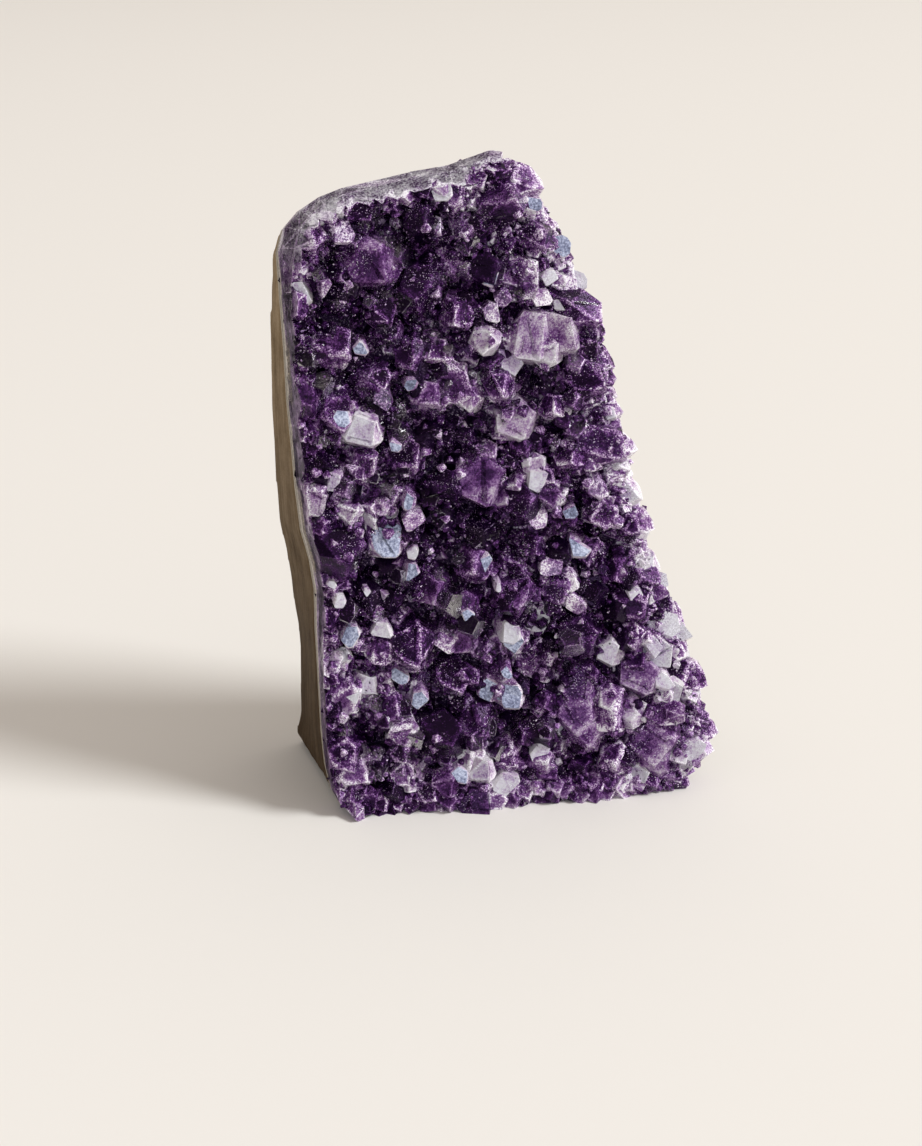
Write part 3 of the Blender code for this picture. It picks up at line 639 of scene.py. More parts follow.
def grow_facet_crystals(look, grinder, clear):
    """The small crystals whose broad flat faces catch the light, the white and icy ones with painted
    highlights and reflections.
    """
    grown = []
    for kind, rows in FACETS.items():
        for across, up, radius in rows:
            radius = FACET_GROWTH * radius * MM
            start, outward = growth_place(across * MM, up * MM)
            tip = FACET_TIP + 0.6 * radius
            bm = make_crystal(look, radius, tip, False)
            turned = aim(start, outward, look.uniform(-6, 6), look.uniform(-6, 6))
            stand(bm, turned)
            summit = turned @ Vector((0, 0, tip))
            for _ in range(look.choice((1, 2, 2))):
                side = turned.to_3x3() @ spoke(look.uniform(0, math.tau), 0.25).normalized()
                keep_side(bm, summit + side * look.uniform(0.0, 0.35) * radius, side)
            cut_broad_face(bm, look, radius, LOOKS[kind][2], 0.8, 1.0)
            bm = grinder.grind(bm)
            if bm is None:
                continue
            round_edges(bm, FACET_EDGE, 1)
            set_rim(bm, FACET_RIM)
            grown.append(finished(bm, look, kind, turned, radius, 0.0))
            clear.append((start + axis_of(turned) * tip, radius))
    return joined(grown, "facet_crystals")


def rim_spots(look):
    """Places side by side along the edges and the foot, each with a radius, a tip and a kind."""
    middle = Vector((22, 50)) * MM
    top = in_metres((x, z) for x, z in GROUND_EDGE if z > 84)
    broken = in_metres(BROKEN_EDGE[1:-1])
    left = in_metres((x, z) for x, z in GROUND_EDGE if 1 < z < 86)
    foot = in_metres(((0.5, 0.9), (57.5, 0.9)))
    # Each row of places: how far in from the edge, then radii and tips in mm, then kinds
    runs = (
        (top, (0.8, 3.0), (2.0, 2.9), (3.4, 4.4), ("smoky", "lilac", "lilac", "violet", "white")),
        (left, (0.9, 2.6), (1.6, 2.5), (2.4, 3.6), ("smoky", "violet", "violet", "lilac", "deep")),
        (broken, (0.4, 2.2), (1.8, 2.7), (2.4, 3.8), ("smoky", "lilac", "lilac", "white", "violet")),
        (foot, (0.0, 1.2), (1.9, 2.9), (2.6, 4.2), ("deep", "violet", "violet", "bright", "lilac")),
    )
    for edge, insets, radii, tips, kinds in runs:
        for point in even_points(edge, RIM_SPACING):
            for inset in insets:
                inward = (middle - point).normalized() if edge is not foot else Vector((0, 1))
                spot = point + inward * (inset + look.uniform(-0.3, 0.5)) * MM
                yield spot, look.uniform(*radii) * MM, look.uniform(*tips) * MM, look.choice(kinds)


def grow_rim_crystals(look, grinder):
    grown = []
    for spot, radius, tip, kind in rim_spots(look):
        start, outward = growth_place(spot.x, spot.y)
        bm = make_crystal(look, radius, tip, look.random() < 0.5)
        turned = aim(start, outward, look.uniform(-22, 22), look.uniform(-12, 24))
        stand(bm, turned)
        bm = worked(grinder, bm, radius, RIM_EDGE, 2, SMALL_INSET)
        if bm is None:
            continue
        grown.append(finished(bm, look, kind, turned, radius, shade_and_tone_at(spot.x, spot.y)))
    return joined(grown, "rim_crystals")


class Places:
    """The places taken so far, so that new crystals keep clear of each other."""

    CELL = 2.0 * MM

    def __init__(self):
        self.cells = {}

    def cell(self, across, up):
        return int(across // self.CELL), int(up // self.CELL)

    def crowded(self, across, up, radius):
        column, row = self.cell(across, up)
        for i in range(column - 2, column + 3):
            for j in range(row - 2, row + 3):
                for a, u, r in self.cells.get((i, j), ()):
                    if math.hypot(across - a, up - u) < CROWDING * (radius + r):
                        return True
        return False

    def take(self, across, up, radius):
        self.cells.setdefault(self.cell(across, up), []).append((across, up, radius))


def low_place(look, tree, clear, gap_depth, elsewhere):
    """A random place on the front, in a gap between the crystals or, now and then, elsewhere."""
    while True:
        up = look.uniform(0.3 * MM, HEIGHT)
        right = edge_across(BROKEN_EDGE, up) + 0.5 * MM
        across = look.uniform(edge_across(SIDE_EDGE, up) - 0.5 * MM, right)
        hit, normal, _, _ = tree.ray_cast(place(across, RAY_START, up), Vector((0, 1, 0)))
        if hit is None:
            continue
        if any(math.hypot(across + FOOT.x - spot.x, up - spot.z) < radius for spot, radius in clear):
            continue
        start, outward = growth_place(across, up)
        in_gap = (hit - start).dot(outward) < gap_depth
        if in_gap or look.random() < elsewhere:
            return across, up, hit, normal, outward, in_gap


def grow_gap_crystals(look, grinder, clear, under):
    tree = tree_of(*under)
    places = Places()
    grown = []
    for _ in range(40 * GAP_CRYSTALS):
        if len(grown) >= GAP_CRYSTALS:
            break
        across, up, hit, normal, outward, _ = low_place(look, tree, clear, *GAP_PLACES)
        radius = look.uniform(*GAP_RADII)
        if places.crowded(across, up, radius):
            continue
        tip = radius * look.uniform(0.5, 1.3)
        lean = outward + 0.35 * normal + 0.35 * any_way(look)
        bm = make_crystal(look, radius, tip, look.random() < 0.4)
        turned = turned_to(hit, lean)
        stand(bm, turned)
        kind = chosen_kind(look, SMALL_SHARES, across, up)
        if kind in FLAT_FACED and look.random() < 0.5:
            cut_broad_face(bm, look, radius, LOOKS[kind][2])
        segments = 2 if radius > FINELY_ROUNDED else 1
        bm = worked(grinder, bm, radius, GAP_EDGE, segments, SMALL_INSET)
        if bm is None:
            continue
        places.take(across, up, radius)
        grown.append(finished(bm, look, kind, turned, radius, shade_and_tone_at(across, up)))
    return joined(grown, "gap_crystals")


def seed_crystals(look, shapes):
    """A few small crystals of each kind, with a radius of 1, to copy."""
    seeds = {}
    for kind in LOOKS:
        for _ in range(shapes):
            tip = look.uniform(0.7, 1.5)
            bm = make_crystal(look, 1.0, tip, look.random() < 0.6)
            keep_side(bm, Vector((0, 0, -1.6)), Vector((0, 0, -1)))
            bmesh.ops.recalc_face_normals(bm, faces=bm.faces)
            add_layers(bm)
            set_rim(bm, SEED_RIM)
            colour_crystal(bm, look, kind, Vector((0, 0, 1)), 1.0, 0.0)
            seeds.setdefault(kind, []).append((mesh_of(bm, "seed"), tip))
    return seeds


def grow_small_crystals(look, grinder, clear, under):
    tree = tree_of(*under)
    seeds = seed_crystals(look, 6)
    places = Places()
    low, high = frame_box
    grown = []
    for _ in range(30 * SMALL_CRYSTALS):
        if len(grown) >= SMALL_CRYSTALS:
            break
        across, up, hit, normal, outward, in_gap = low_place(look, tree, clear, *SMALL_PLACES)
        radius = look.uniform(*SMALL_RADII)
        if places.crowded(across, up, radius) or hit.z < 1.2 * radius:
            continue
        lean = outward + 0.8 * normal + 0.45 * any_way(look)
        # painted shade: mostly deep kinds in the gaps, lilac above them
        kind = chosen_kind(look, SMALL_SHARES, across, up) if in_gap else "lilac"
        mesh, tip = look.choice(seeds[kind])
        axis = lean.normalized()
        summit = hit + axis * tip * radius
        if grinder.outside(summit) or grinder.outside(hit + outward * 0.7 * radius):
            continue
        if any(summit[k] - radius < low[k] or summit[k] + radius > high[k] for k in range(3)):
            continue
        places.take(across, up, radius)
        grown.append(turned_copy(look, mesh, "small", hit, lean, radius))
    return joined(grown, "small_crystals")


def fine_seeds(look, kinds):
    """Tiny pointed crystals with a radius of 1, to copy."""
    seeds = []
    for kind in kinds:
        for blunt in (0.0, 0.3, 0.5):
            bm = bmesh.new()
            bmesh.ops.create_cone(
                bm, cap_ends=True, segments=6, radius1=1.0, radius2=blunt, depth=look.uniform(1.6, 2.6)
            )
            add_layers(bm)
            colour_crystal(bm, look, kind, Vector((0, 0, 1)), 0.3, 0.0)
            seeds.append(mesh_of(bm, "fine_seed"))
    return seeds


def turned_copy(look, mesh, name, at, axis, size):
    obj = bpy.data.objects.new(name, mesh)
    spun = turned_to(at, axis) @ Matrix.Rotation(look.uniform(0, math.tau), 4, "Z")
    obj.matrix_world = spun @ Matrix.Scale(size, 4)
    bpy.context.scene.collection.objects.link(obj)
    return obj


def grow_fine_crystals(look, grinder, clear, under):
    """Tiny crystals that glitter, mostly low down between the others."""
    tree = tree_of(*under)
    low_seeds = fine_seeds(look, ("violet", "lilac", "white"))
    high_seeds = fine_seeds(look, ("lilac", "pale"))
    grown = []
    while len(grown) < FINE_CRYSTALS:
        _, _, hit, normal, _, in_gap = low_place(look, tree, clear, *FINE_PLACES)
        if noise.noise(hit / (2.2 * MM)) < look.uniform(-0.5, 0.35):
            continue
        radius = look.uniform(*FINE_RADII) * look.uniform(0.6, 1.0)
        if hit.z < 3 * radius or grinder.outside(hit + normal * radius):
            continue
        lean = normal + 0.9 * any_way(look)
        mesh = look.choice(low_seeds if in_gap else high_seeds)
        grown.append(turned_copy(look, mesh, "fine", hit, lean, radius))
    return joined(grown, "fine_crystals")


def dress_piece(obj, made_of, slot, *nodes):
    obj.data.materials.clear()
    obj.data.materials.append(made_of)
    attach(obj, "root")
    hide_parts(*nodes)
    return obj


# ---------------------------------------------------------------------------------------------
# Materials. How fine a pattern is, is in waves to the metre.

BLACK = (0, 0, 0)
WHITE = (1, 1, 1)
CREVICE_PLUM = (0.42, 0.25, 0.52)  # the tint of what the amethyst reflects
QUARTZ_IOR = 1.544
BODY_COLOURS = (
    (0.00, (0.006, 0.001, 0.013)),
    (0.20, (0.030, 0.007, 0.052)),
    (0.36, (0.095, 0.026, 0.145)),
    (0.50, (0.225, 0.085, 0.300)),
    (0.64, (0.420, 0.240, 0.500)),
    (0.80, (0.720, 0.570, 0.770)),
    (1.00, (0.950, 0.920, 0.970)),
)
# The blue white of the painted window reflection on the broad faces
PAINTED_REFLECTION_COLOURS = (
    (0.34, (0.07, 0.075, 0.14)), (0.48, (0.24, 0.27, 0.43)), (0.64, (0.62, 0.67, 0.84)),
)
SCRATCHED_COLOURS = (
    (0.40, (0.015, 0.003, 0.028)), (0.50, (0.08, 0.025, 0.12)), (0.66, (0.42, 0.30, 0.49)),
)
HATCHED_COLOURS = (
    (0.38, (0.030, 0.020, 0.012)), (0.50, (0.14, 0.105, 0.075)), (0.64, (0.44, 0.37, 0.29)),
)
GROUND_TOP_COLOURS = (
    (0.33, (0.06, 0.02, 0.085)), (0.43, (0.32, 0.24, 0.37)), (0.52, (0.66, 0.62, 0.70)),
    (0.64, (0.92, 0.90, 0.94)),
)
CRUST_BACK_COLOURS = (
    (0.34, (0.20, 0.16, 0.15)), (0.5, (0.48, 0.42, 0.38)), (0.66, (0.76, 0.71, 0.66)),
)
# The ground side's colours low down, darkened as painted shade, and high up, lightened as painted light
LOW_ROCK_COLOURS_WITH_PAINTED_SHADE = (
    (0.38, (0.046, 0.027, 0.014)), (0.50, (0.076, 0.049, 0.027)), (0.62, (0.123, 0.085, 0.051)),
)
HIGH_ROCK_COLOURS_WITH_PAINTED_LIGHT = (
    (0.38, (0.150, 0.102, 0.055)), (0.50, (0.270, 0.195, 0.118)), (0.62, (0.400, 0.305, 0.200)),
)
NATURAL_ROCK_COLOURS = (
    (0.36, (0.030, 0.024, 0.018)), (0.50, (0.105, 0.088, 0.066)), (0.64, (0.215, 0.186, 0.148)),
)

TOP_FADE = (84 * MM, 95 * MM)  # how far up the ground side turns into the ground top
# How far up the side is chipped: where it begins, is at its full, begins to end and ends
CHIPPED = ((37, 40, 50, 54), (65, 67, 74, 77))


class Nodes:
    """A short way to write a material's nodes."""

    def __init__(self, name):
        self.material = bpy.data.materials.new(name)
        self.material.use_nodes = True
        self.tree = self.material.node_tree

    def add(self, kind, **settings):
        node = self.tree.nodes.new("ShaderNode" + kind)
        for key, value in settings.items():
            setattr(node, key, value)
        return node

    def feed(self, socket, value):
        """Links a socket to another node's output, or sets it to a number or a colour."""
        if isinstance(value, bpy.types.NodeSocket):
            self.tree.links.new(value, socket)
        elif socket.type == "RGBA":
            socket.default_value = (*value, 1.0)
        else:
            socket.default_value = value

    def feed_all(self, node, values):
        for name, value in values.items():
            self.feed(node.inputs[name], value)

    def surface(self, values):
        """Gives the surface its looks, and returns the material."""
        self.feed_all(self.tree.nodes["Principled BSDF"], values)
        return self.material

    def attribute(self, name):
        return self.add("Attribute", attribute_name=name).outputs["Fac"]

    def object_place(self):
        return self.add("TexCoord").outputs["Object"]

    def noise(self, scale, detail=3.0, rough=0.55, vector=None):
        node = self.add("TexNoise")
        vector = vector or self.object_place()
        self.feed_all(node, {"Scale": scale, "Detail": detail, "Roughness": rough, "Vector": vector})
        return node.outputs["Fac"]

    def place_along(self, *axes):
        """Where a point is, in metres, along each of the axes."""
        node = self.add("SeparateXYZ")
        self.feed(node.inputs[0], self.object_place())
        return [node.outputs[axis] for axis in axes]

    def height(self):
        return self.place_along("Z")[0]

    def depth(self):
        """How far a point is behind the face that the crystals grow from."""
        back, up = self.place_along("Y", "Z")
        return self.minus(self.minus(back, FOOT.y), self.times(up, math.tan(LEAN)))

    def border(self):
        """How near a point is to the ground top or to the broken edge, from 0 to 1."""
        across, up = self.place_along("X", "Z")
        over = self.minus(up, self.times(across, 0.25))
        near_top = self.between(over, 88 * MM - 0.25 * FOOT.x, 97 * MM - 0.25 * FOOT.x)
        right = self.plus(across, self.times(up, 0.33))
        near_right = self.between(right, 56 * MM + FOOT.x, 65 * MM + FOOT.x)
        return self.plus(self.times(near_top, 0.6), self.times(near_right, 0.38))

    def ramp(self, source, *stops):
        node = self.add("ValToRGB")
        elements = node.color_ramp.elements
        while len(elements) < len(stops):
            elements.new(0.5)
        for element, (position, colour) in zip(elements, stops):
            element.position = position
            element.color = (*colour, 1.0)
        self.feed(node.inputs["Fac"], source)
        return node.outputs["Color"]

    def math(self, operation, first, second, clamp=False):
        node = self.add("Math", operation=operation, use_clamp=clamp)
        self.feed(node.inputs[0], first)
        self.feed(node.inputs[1], second)
        return node.outputs[0]

    def times(self, first, second, clamp=False):
        return self.math("MULTIPLY", first, second, clamp)

    def plus(self, first, second, clamp=False):
        return self.math("ADD", first, second, clamp)

    def minus(self, first, second, clamp=False):
        return self.math("SUBTRACT", first, second, clamp)

    def most(self, first, second):
        return self.math("MAXIMUM", first, second)

    def swing(self, source, amount):
        """A pattern as a change about 0."""
        return self.times(self.minus(source, 0.5), amount)

    def between(self, source, low, high):
        """0 at low and 1 at high."""
        node = self.add("MapRange", interpolation_type="SMOOTHSTEP")
        self.feed_all(node, {"From Min": low, "From Max": high, "Value": source})
        return node.outputs["Result"]

    def mix(self, share, first, second):
        node = self.add("Mix", data_type="RGBA")
        for key, value in (("Factor", share), ("A", first), ("B", second)):
            self.feed([s for s in node.inputs if s.name == key and s.enabled][0], value)
        return [s for s in node.outputs if s.enabled][0]

    def bump(self, height, strength, distance, after=None):
        node = self.add("Bump")
        self.feed_all(node, {"Strength": strength, "Distance": distance, "Height": height})
        if after:
            self.feed(node.inputs["Normal"], after)
        return node.outputs["Normal"]


def ground_colours(n):
    """What was ground: scratched and dark at the side, brown where it chipped, and pale on the top."""
    patches = n.swing(n.noise(260.0, 3.0, 0.5), 0.6)
    scratched = n.plus(n.noise(1700.0, 5.0, 0.8), patches)
    side = n.ramp(scratched, *SCRATCHED_COLOURS)
    hatched = n.ramp(n.noise(2400.0, 4.0, 0.7), *HATCHED_COLOURS)
    up = n.height()
    chips = [
        n.minus(n.between(up, begins * MM, full * MM), n.between(up, ending * MM, ends * MM))
        for begins, full, ending, ends in CHIPPED
    ]
    chipped = n.times(n.plus(*chips), n.between(n.depth(), 0.4 * MM, 1.4 * MM))
    side = n.mix(chipped, side, hatched)
    top = n.ramp(n.plus(n.noise(3000.0, 3.0, 0.7), patches), *GROUND_TOP_COLOURS)
    return scratched, side, top


def frost_and_grain(n):
    """The milky frost, which is thickest at the rims of the faces and, as a painted sheen, where a face
    turns away from the view, and the fine grain in it, whose white specks are partly painted glints.
    """
    clouds = n.ramp(n.noise(520.0, 5.0, 0.65), (0.36, BLACK), (0.54, WHITE))
    # painted sheen: the frost is paler where a face turns away from the view
    grazing_sheen = n.add("LayerWeight")
    n.feed(grazing_sheen.inputs["Blend"], 0.38)
    edge = n.most(n.attribute("rim"), n.times(grazing_sheen.outputs["Facing"], 1.2))
    rim = n.plus(n.times(edge, 0.8), 0.2)
    grain = n.noise(3600.0, 2.5, 0.7)
    # the grain's white specks, partly painted glints
    specks = n.ramp(grain, (0.42, BLACK), (0.58, WHITE))
    specks = n.plus(n.times(specks, 0.75), 0.25)
    veil = n.times(n.times(n.plus(n.attribute("frost"), n.border()), rim), clouds)
    return n.times(veil, specks, clamp=True), grain


def crystal_colour(n, frost):
    large = n.swing(n.noise(300.0, 3.0, 0.6), 1.1)
    fine = n.swing(n.noise(2300.0, 4.0, 0.75), 1.15)
    # painted shade: darker towards each crystal's root, down between the crystals
    depth = n.times(n.minus(1.0, n.attribute("rise"), clamp=True), 0.42)
    core = n.times(n.minus(1.0, n.attribute("rim")), 0.08)
    # painted glints: white specks added to the colour in patches
    glitter = n.ramp(n.noise(4600.0, 1.0), (0.65, BLACK), (0.70, WHITE))
    where = n.between(n.noise(230.0, 2.0), 0.40, 0.60)
    glitter = n.times(n.times(glitter, where), 0.75)
    pale = n.plus(n.plus(n.attribute("pale"), large), n.plus(fine, n.times(frost, 0.70)))
    pale = n.plus(n.minus(pale, n.plus(depth, core), clamp=True), glitter, clamp=True)
    # painted reflection: the broad faces take a blue white in place of the window's reflection
    icy = n.ramp(n.plus(n.noise(2500.0, 4.0, 0.75), n.times(large, 0.4)), *PAINTED_REFLECTION_COLOURS)
    colour = n.mix(n.attribute("painted_reflection"), n.ramp(pale, *BODY_COLOURS), icy)
    _, side, top = ground_colours(n)
    ground = n.mix(n.between(n.height(), *TOP_FADE), side, top)
    own = n.swing(n.noise(420.0, 4.0), 2.2)
    over = n.times(n.between(n.height(), 91 * MM, 99 * MM), 0.5)
    share = n.plus(n.plus(over, own), 0.50, clamp=True)
    return n.mix(n.times(n.attribute("ground"), share), colour, ground)


def crystal_finish(name, clear, absorption, density, glint, tint=WHITE):
    n = Nodes(name)
    frost, grain = frost_and_grain(n)
    solid = n.most(n.most(frost, n.attribute("painted_reflection")), n.attribute("ground"))
    inside = n.add("VolumeAbsorption")
    n.feed_all(inside, {"Color": absorption, "Density": density})
    n.feed(n.tree.nodes["Material Output"].inputs["Volume"], inside.outputs[0])
    waves = n.bump(n.noise(520.0, 3.0), 0.6, 0.35 * MM)
    return n.surface({
        "Base Color": crystal_colour(n, frost),
        "Transmission Weight": n.times(n.minus(1.0, n.times(solid, 0.85)), clear),
        "IOR": QUARTZ_IOR,
        "Specular IOR Level": glint,
        "Specular Tint": tint,
        "Roughness": n.plus(n.times(solid, 0.30), n.times(n.noise(800.0), 0.30)),
        "Normal": n.bump(grain, 0.6, 0.09 * MM, waves),
    })


def quartz_base_finish():
    """The quartz that the crystals stand on: painted dark as shade between them, pale where it was
    ground.
    """
    n = Nodes("quartz_base")
    scratched, front, top = ground_colours(n)
    back = n.ramp(scratched, *CRUST_BACK_COLOURS)
    ground = n.mix(n.between(n.depth(), 2.7 * MM, 3.1 * MM), front, back)
    ground = n.mix(n.between(n.height(), *TOP_FADE), ground, top)
    # painted shade: near black between the crystals, with lilac grains
    dark = n.ramp(n.noise(2600.0, 4.0, 0.7), (0.54, (0.008, 0.002, 0.018)), (0.72, (0.34, 0.26, 0.38)))
    return n.surface({
        "Base Color": n.mix(n.attribute("ground"), dark, ground),
        "Roughness": 0.4,
        "IOR": QUARTZ_IOR,
        "Specular IOR Level": 0.15,
        "Specular Tint": CREVICE_PLUM,
    })


def natural_rock(n, grain):
    """Spotted basalt with green and rusty patches, and darkened with painted shade in its gas hollows.
    """
    natural = n.ramp(n.plus(n.times(n.noise(320.0, 7.0, 0.7), 0.7), n.times(grain, 0.3)),
                     *NATURAL_ROCK_COLOURS)
    green = n.between(n.noise(240.0, 3.0, 0.55), 0.60, 0.68)
    natural = n.mix(n.times(green, 0.55), natural, (0.115, 0.135, 0.090))
    rust = n.between(n.noise(110.0, 4.0, 0.6), 0.60, 0.72)
    natural = n.mix(n.times(rust, 0.5), natural, (0.19, 0.115, 0.060))
    # painted shade in the gas hollows
    return n.mix(n.times(n.attribute("hollow"), 0.75), natural, (0.022, 0.017, 0.013))


def basalt_finish():
    """Smooth and faintly streaked where it was ground, and rough and spotted where it is natural."""
    n = Nodes("basalt")
    worn = n.attribute("worn")
    streaks = n.add("Mapping")
    n.feed_all(streaks, {"Scale": (1.0, 1.0, 0.07), "Vector": n.object_place()})
    lines = n.noise(900.0, 5.0, 0.65, streaks.outputs[0])
    mottle = n.noise(170.0, 6.0, 0.62)
    grain = n.noise(2400.0, 4.0, 0.7)
    mixed = n.plus(n.times(lines, 0.45), n.plus(n.times(mottle, 0.35), n.times(grain, 0.20)))
    # painted shade and light: the ground side is darker towards the bottom and lighter towards the top
    upwards = n.between(n.height(), 5 * MM, 90 * MM)
    side = n.mix(upwards, n.ramp(mixed, *LOW_ROCK_COLOURS_WITH_PAINTED_SHADE), n.ramp(mixed, *HIGH_ROCK_COLOURS_WITH_PAINTED_LIGHT))
    return n.surface({
        "Base Color": n.mix(worn, natural_rock(n, grain), side),
        "Roughness": n.minus(0.90, n.times(worn, 0.22)),
        "Specular IOR Level": 0.04,
        "Normal": n.bump(lines, 0.15, 0.20 * MM, n.bump(grain, 0.35, 0.12 * MM)),
    })


def chalcedony_finish():
    """Thin bands that follow the crust: a dark one between a cream one and a beige one."""
    n = Nodes("chalcedony")
    depth = n.plus(n.depth(), n.swing(n.noise(140.0, 3.0), 0.5 * MM))
    fibres = n.noise(2200.0, 5.0, 0.7)
    cream = n.ramp(fibres, (0.35, (0.34, 0.29, 0.23)), (0.65, (0.66, 0.60, 0.51)))
    dark = n.ramp(fibres, (0.40, (0.035, 0.026, 0.018)), (0.65, (0.16, 0.125, 0.085)))
    beige = n.ramp(fibres, (0.35, (0.24, 0.195, 0.145)), (0.65, (0.46, 0.40, 0.32)))
    banded = n.mix(n.between(depth, 3.90 * MM, 4.05 * MM), cream, dark)
    return n.surface({
        "Base Color": n.mix(n.between(depth, 4.25 * MM, 4.40 * MM), banded, beige),
        "Roughness": n.plus(n.times(fibres, 0.3), 0.35),
        "Normal": n.bump(fibres, 0.4, 0.10 * MM),
    })


# ---------------------------------------------------------------------------------------------
# Pieces


def make_base_quartz():
    rings = [outline(d * MM, reach=-CRYSTAL_REACH, top_round=g * MM) for d, g in
             ((1.5, 0.5), (1.8, 0.3), (2.4, 0.15), (3.4, 0.0))]
    bm = loft(rings)
    ground = bm.faces.layers.float.new("ground")
    for face in bm.faces:
        face[ground] = float(len(face.verts) == 4)
    base = loose_object(bm, "base_quartz")
    return dress_piece(base, quartz_base_finish(), "amethyst", "amethyst_crust")


def make_crystals(base):
    rng = random.Random(SEED)
    look = random.Random(7)
    grinder = Grinder()
    amethyst = crystal_finish("amethyst", 0.50, (0.60, 0.26, 0.80), 130.0, 0.15, CREVICE_PLUM)
    quartz = crystal_finish("pale_quartz", 0.35, (0.84, 0.80, 0.90), 80.0, 0.5)
    glitter = crystal_finish("glitter_quartz", 0.25, (0.80, 0.74, 0.86), 120.0, 0.9)
    clear = []
    main, pale = grow_main_crystals(rng, look, grinder, clear)
    facets = grow_facet_crystals(look, grinder, clear)
    rim = grow_rim_crystals(look, grinder)
    grown = [base, main, pale, facets, rim]
    for grow in (grow_gap_crystals, grow_small_crystals, grow_fine_crystals):
        grown.append(grow(look, grinder, clear, grown))
    grinder.finish()
    finishes = {pale: quartz, facets: quartz, grown[-1]: glitter}
    for piece in grown[1:]:
        dress_piece(piece, finishes.get(piece, amethyst), "amethyst", "amethyst_crust")


def dress_lining():
    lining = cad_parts["chalcedony_lining"]
    lining.data.materials.clear()
    lining.data.materials.append(chalcedony_finish())


def rock_hollow(point):
    """How deep a small gas hollow is at a point of the natural rock, from 0 to 1."""
    distances, centres = noise.voronoi(point / HOLLOW_SPACING)
    is_hollow = noise.noise(centres[0] * 7.3) > 0.12
    return smooth(0.42, 0.20, distances[0]) if is_hollow else 0.0


def make_rock():
    """The basalt, ground smooth at the left and the top, and natural behind and at the right."""
    bm = bmesh.new()
    bm.from_mesh(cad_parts["basalt_rind"].data)
    bmesh.ops.remove_doubles(bm, verts=bm.verts, dist=0.001 * MM)
    rock = loose_object(bm, "basalt_rock")
    grid = rock.modifiers.new("even_grid", "REMESH")
    grid.mode = "VOXEL"
    grid.voxel_size = ROCK_GRID
    bm = bmesh.new()
    bm.from_object(rock, bpy.context.evaluated_depsgraph_get())
    rock.modifiers.remove(grid)
    bmesh.ops.smooth_vert(
        bm, verts=bm.verts, factor=0.5, use_axis_x=True, use_axis_y=True, use_axis_z=True
    )
    bm.normal_update()
    worn = bm.verts.layers.float.new("worn")
    hollow = bm.verts.layers.float.new("hollow")
    moves = []
    for v in bm.verts:
        across = v.co.x - FOOT.x
        behind = smooth(0.45, 0.80, v.normal.y)
        broken = smooth(24 * MM, 34 * MM, across) * smooth(0.2, 0.6, v.normal.x)
        flat = smooth(-0.55, -0.85, v.normal.y) + smooth(1.2 * MM, 0.3 * MM, v.co.z)
        rough = max(behind, broken) * max(1 - flat, 0)
        v[worn] = 1 - rough
        v[hollow] = rough * rock_hollow(v.co)
        lumps = sum(deep * (1 + noise.noise(v.co / wide)) for deep, wide in LUMPS)
        moves.append(-v.normal * rough * (lumps + HOLLOW_DEPTH * v[hollow]) * MM)
    for v, move in zip(bm.verts, moves):
        v.co += move
    keep_in_box(bm, *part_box("basalt_rind"))
    for face in bm.faces:
        face.smooth = True
    bm.to_mesh(rock.data)
    bm.free()
    return dress_piece(rock, basalt_finish(), "basalt", "basalt_rind")


# ---------------------------------------------------------------------------------------------
# Stage, lights and camera

SENSOR = 36  # mm, along the picture's height
PICTURE_HEIGHT = 1146  # pixels
FOCAL_LENGTH = 1950  # pixels
CAMERA_PLACE = Vector((-28.94, -289.74, 148.0)) * MM  # from the front left foot
BRIGHT_SIDE = Vector((0.75, 0.45, 0.48))  # the way to the sky's bright side
SKY_STRENGTHS = (0.14, 0.80)


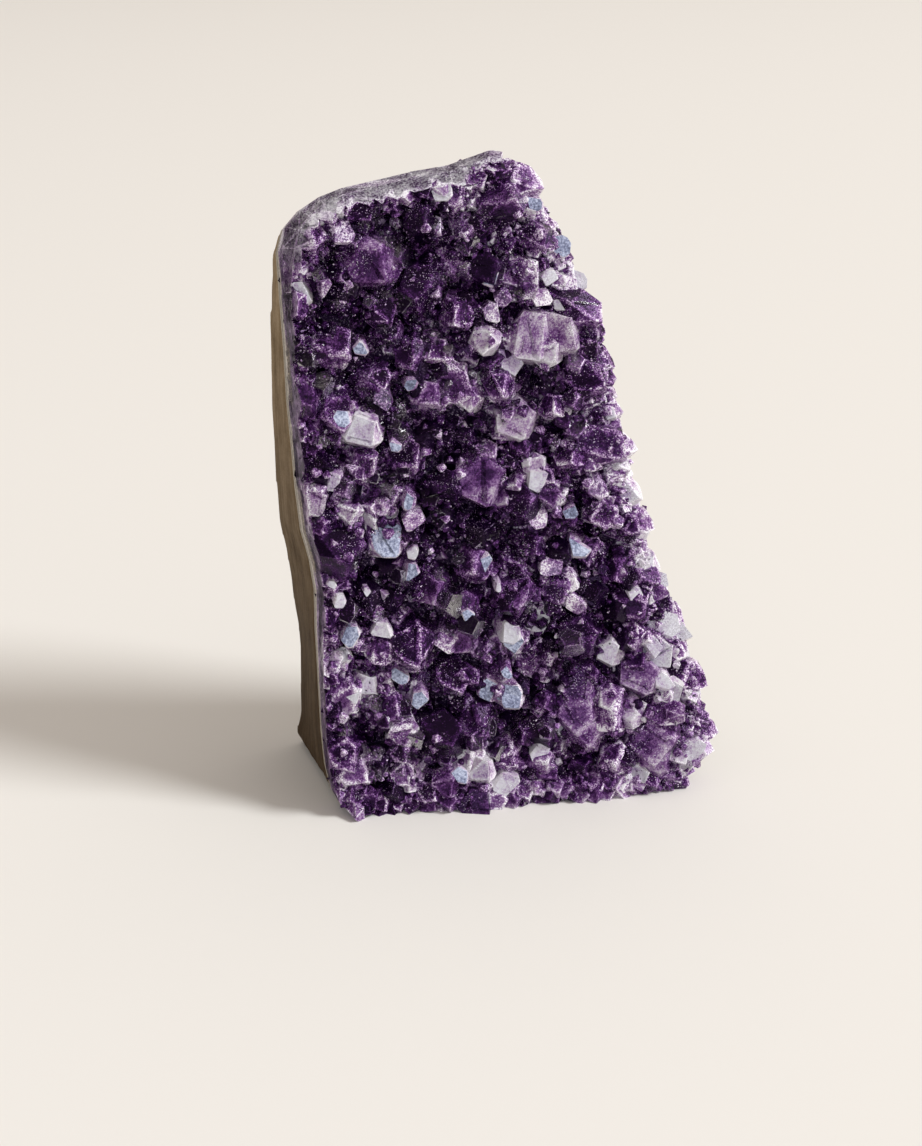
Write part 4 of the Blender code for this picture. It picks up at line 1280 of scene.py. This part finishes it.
def make_stage():
    bm = bmesh.new()
    bmesh.ops.create_grid(bm, x_segments=2, y_segments=2, size=4.0)
    floor = loose_object(bm, "floor")
    finish = Nodes("pale_floor").surface({"Base Color": (0.78, 0.76, 0.727), "Roughness": 0.9})
    floor.data.materials.append(finish)


def area_light(name, place_at, aim_at, size, energy, colour):
    data = bpy.data.lights.new(name, "AREA")
    data.shape = "DISK"
    data.size = size
    data.energy = energy
    data.color = colour
    obj = bpy.data.objects.new(name, data)
    obj.location = place_at
    obj.rotation_euler = (Vector(aim_at) - Vector(place_at)).to_track_quat("-Z", "Y").to_euler()
    bpy.context.scene.collection.objects.link(obj)


def light_it():
    area_light("key", (7.2, -3.0, 6.4), (0, 0, 0.05), 3.4, 900.0, (0.97, 0.99, 1.0))
    area_light("window", (-0.30, -1.25, 0.45), (0, 0, 0.05), 0.5, 3.0, (0.82, 0.90, 1.0))
    world = bpy.data.worlds.new("studio")
    bpy.context.scene.world = world
    world.use_nodes = True
    nodes = world.node_tree.nodes
    links = world.node_tree.links
    background = nodes["Background"]
    background.inputs["Color"].default_value = (1.0, 0.90, 0.81, 1)
    way = nodes.new("ShaderNodeTexCoord")
    bright_side = nodes.new("ShaderNodeVectorMath")
    bright_side.operation = "DOT_PRODUCT"
    bright_side.inputs[1].default_value = BRIGHT_SIDE.normalized()
    strength = nodes.new("ShaderNodeMapRange")
    strength.inputs["From Min"].default_value = -1.0
    strength.inputs["To Min"].default_value = SKY_STRENGTHS[0]
    strength.inputs["To Max"].default_value = SKY_STRENGTHS[1]
    links.new(way.outputs["Generated"], bright_side.inputs[0])
    links.new(bright_side.outputs["Value"], strength.inputs["Value"])
    links.new(strength.outputs["Result"], background.inputs["Strength"])
    bpy.context.scene.view_settings.view_transform = "Standard"


def place_camera():
    data = bpy.data.cameras.new("camera")
    data.sensor_width = SENSOR
    data.lens = FOCAL_LENGTH / PICTURE_HEIGHT * SENSOR
    camera = bpy.data.objects.new("camera", data)
    camera.location = FOOT + CAMERA_PLACE
    camera.rotation_euler = (math.radians(70), 0, math.radians(-9.27))
    bpy.context.scene.collection.objects.link(camera)
    bpy.context.scene.camera = camera


place_camera()
light_it()
make_stage()
dress_lining()
make_rock()
make_crystals(make_base_quartz())
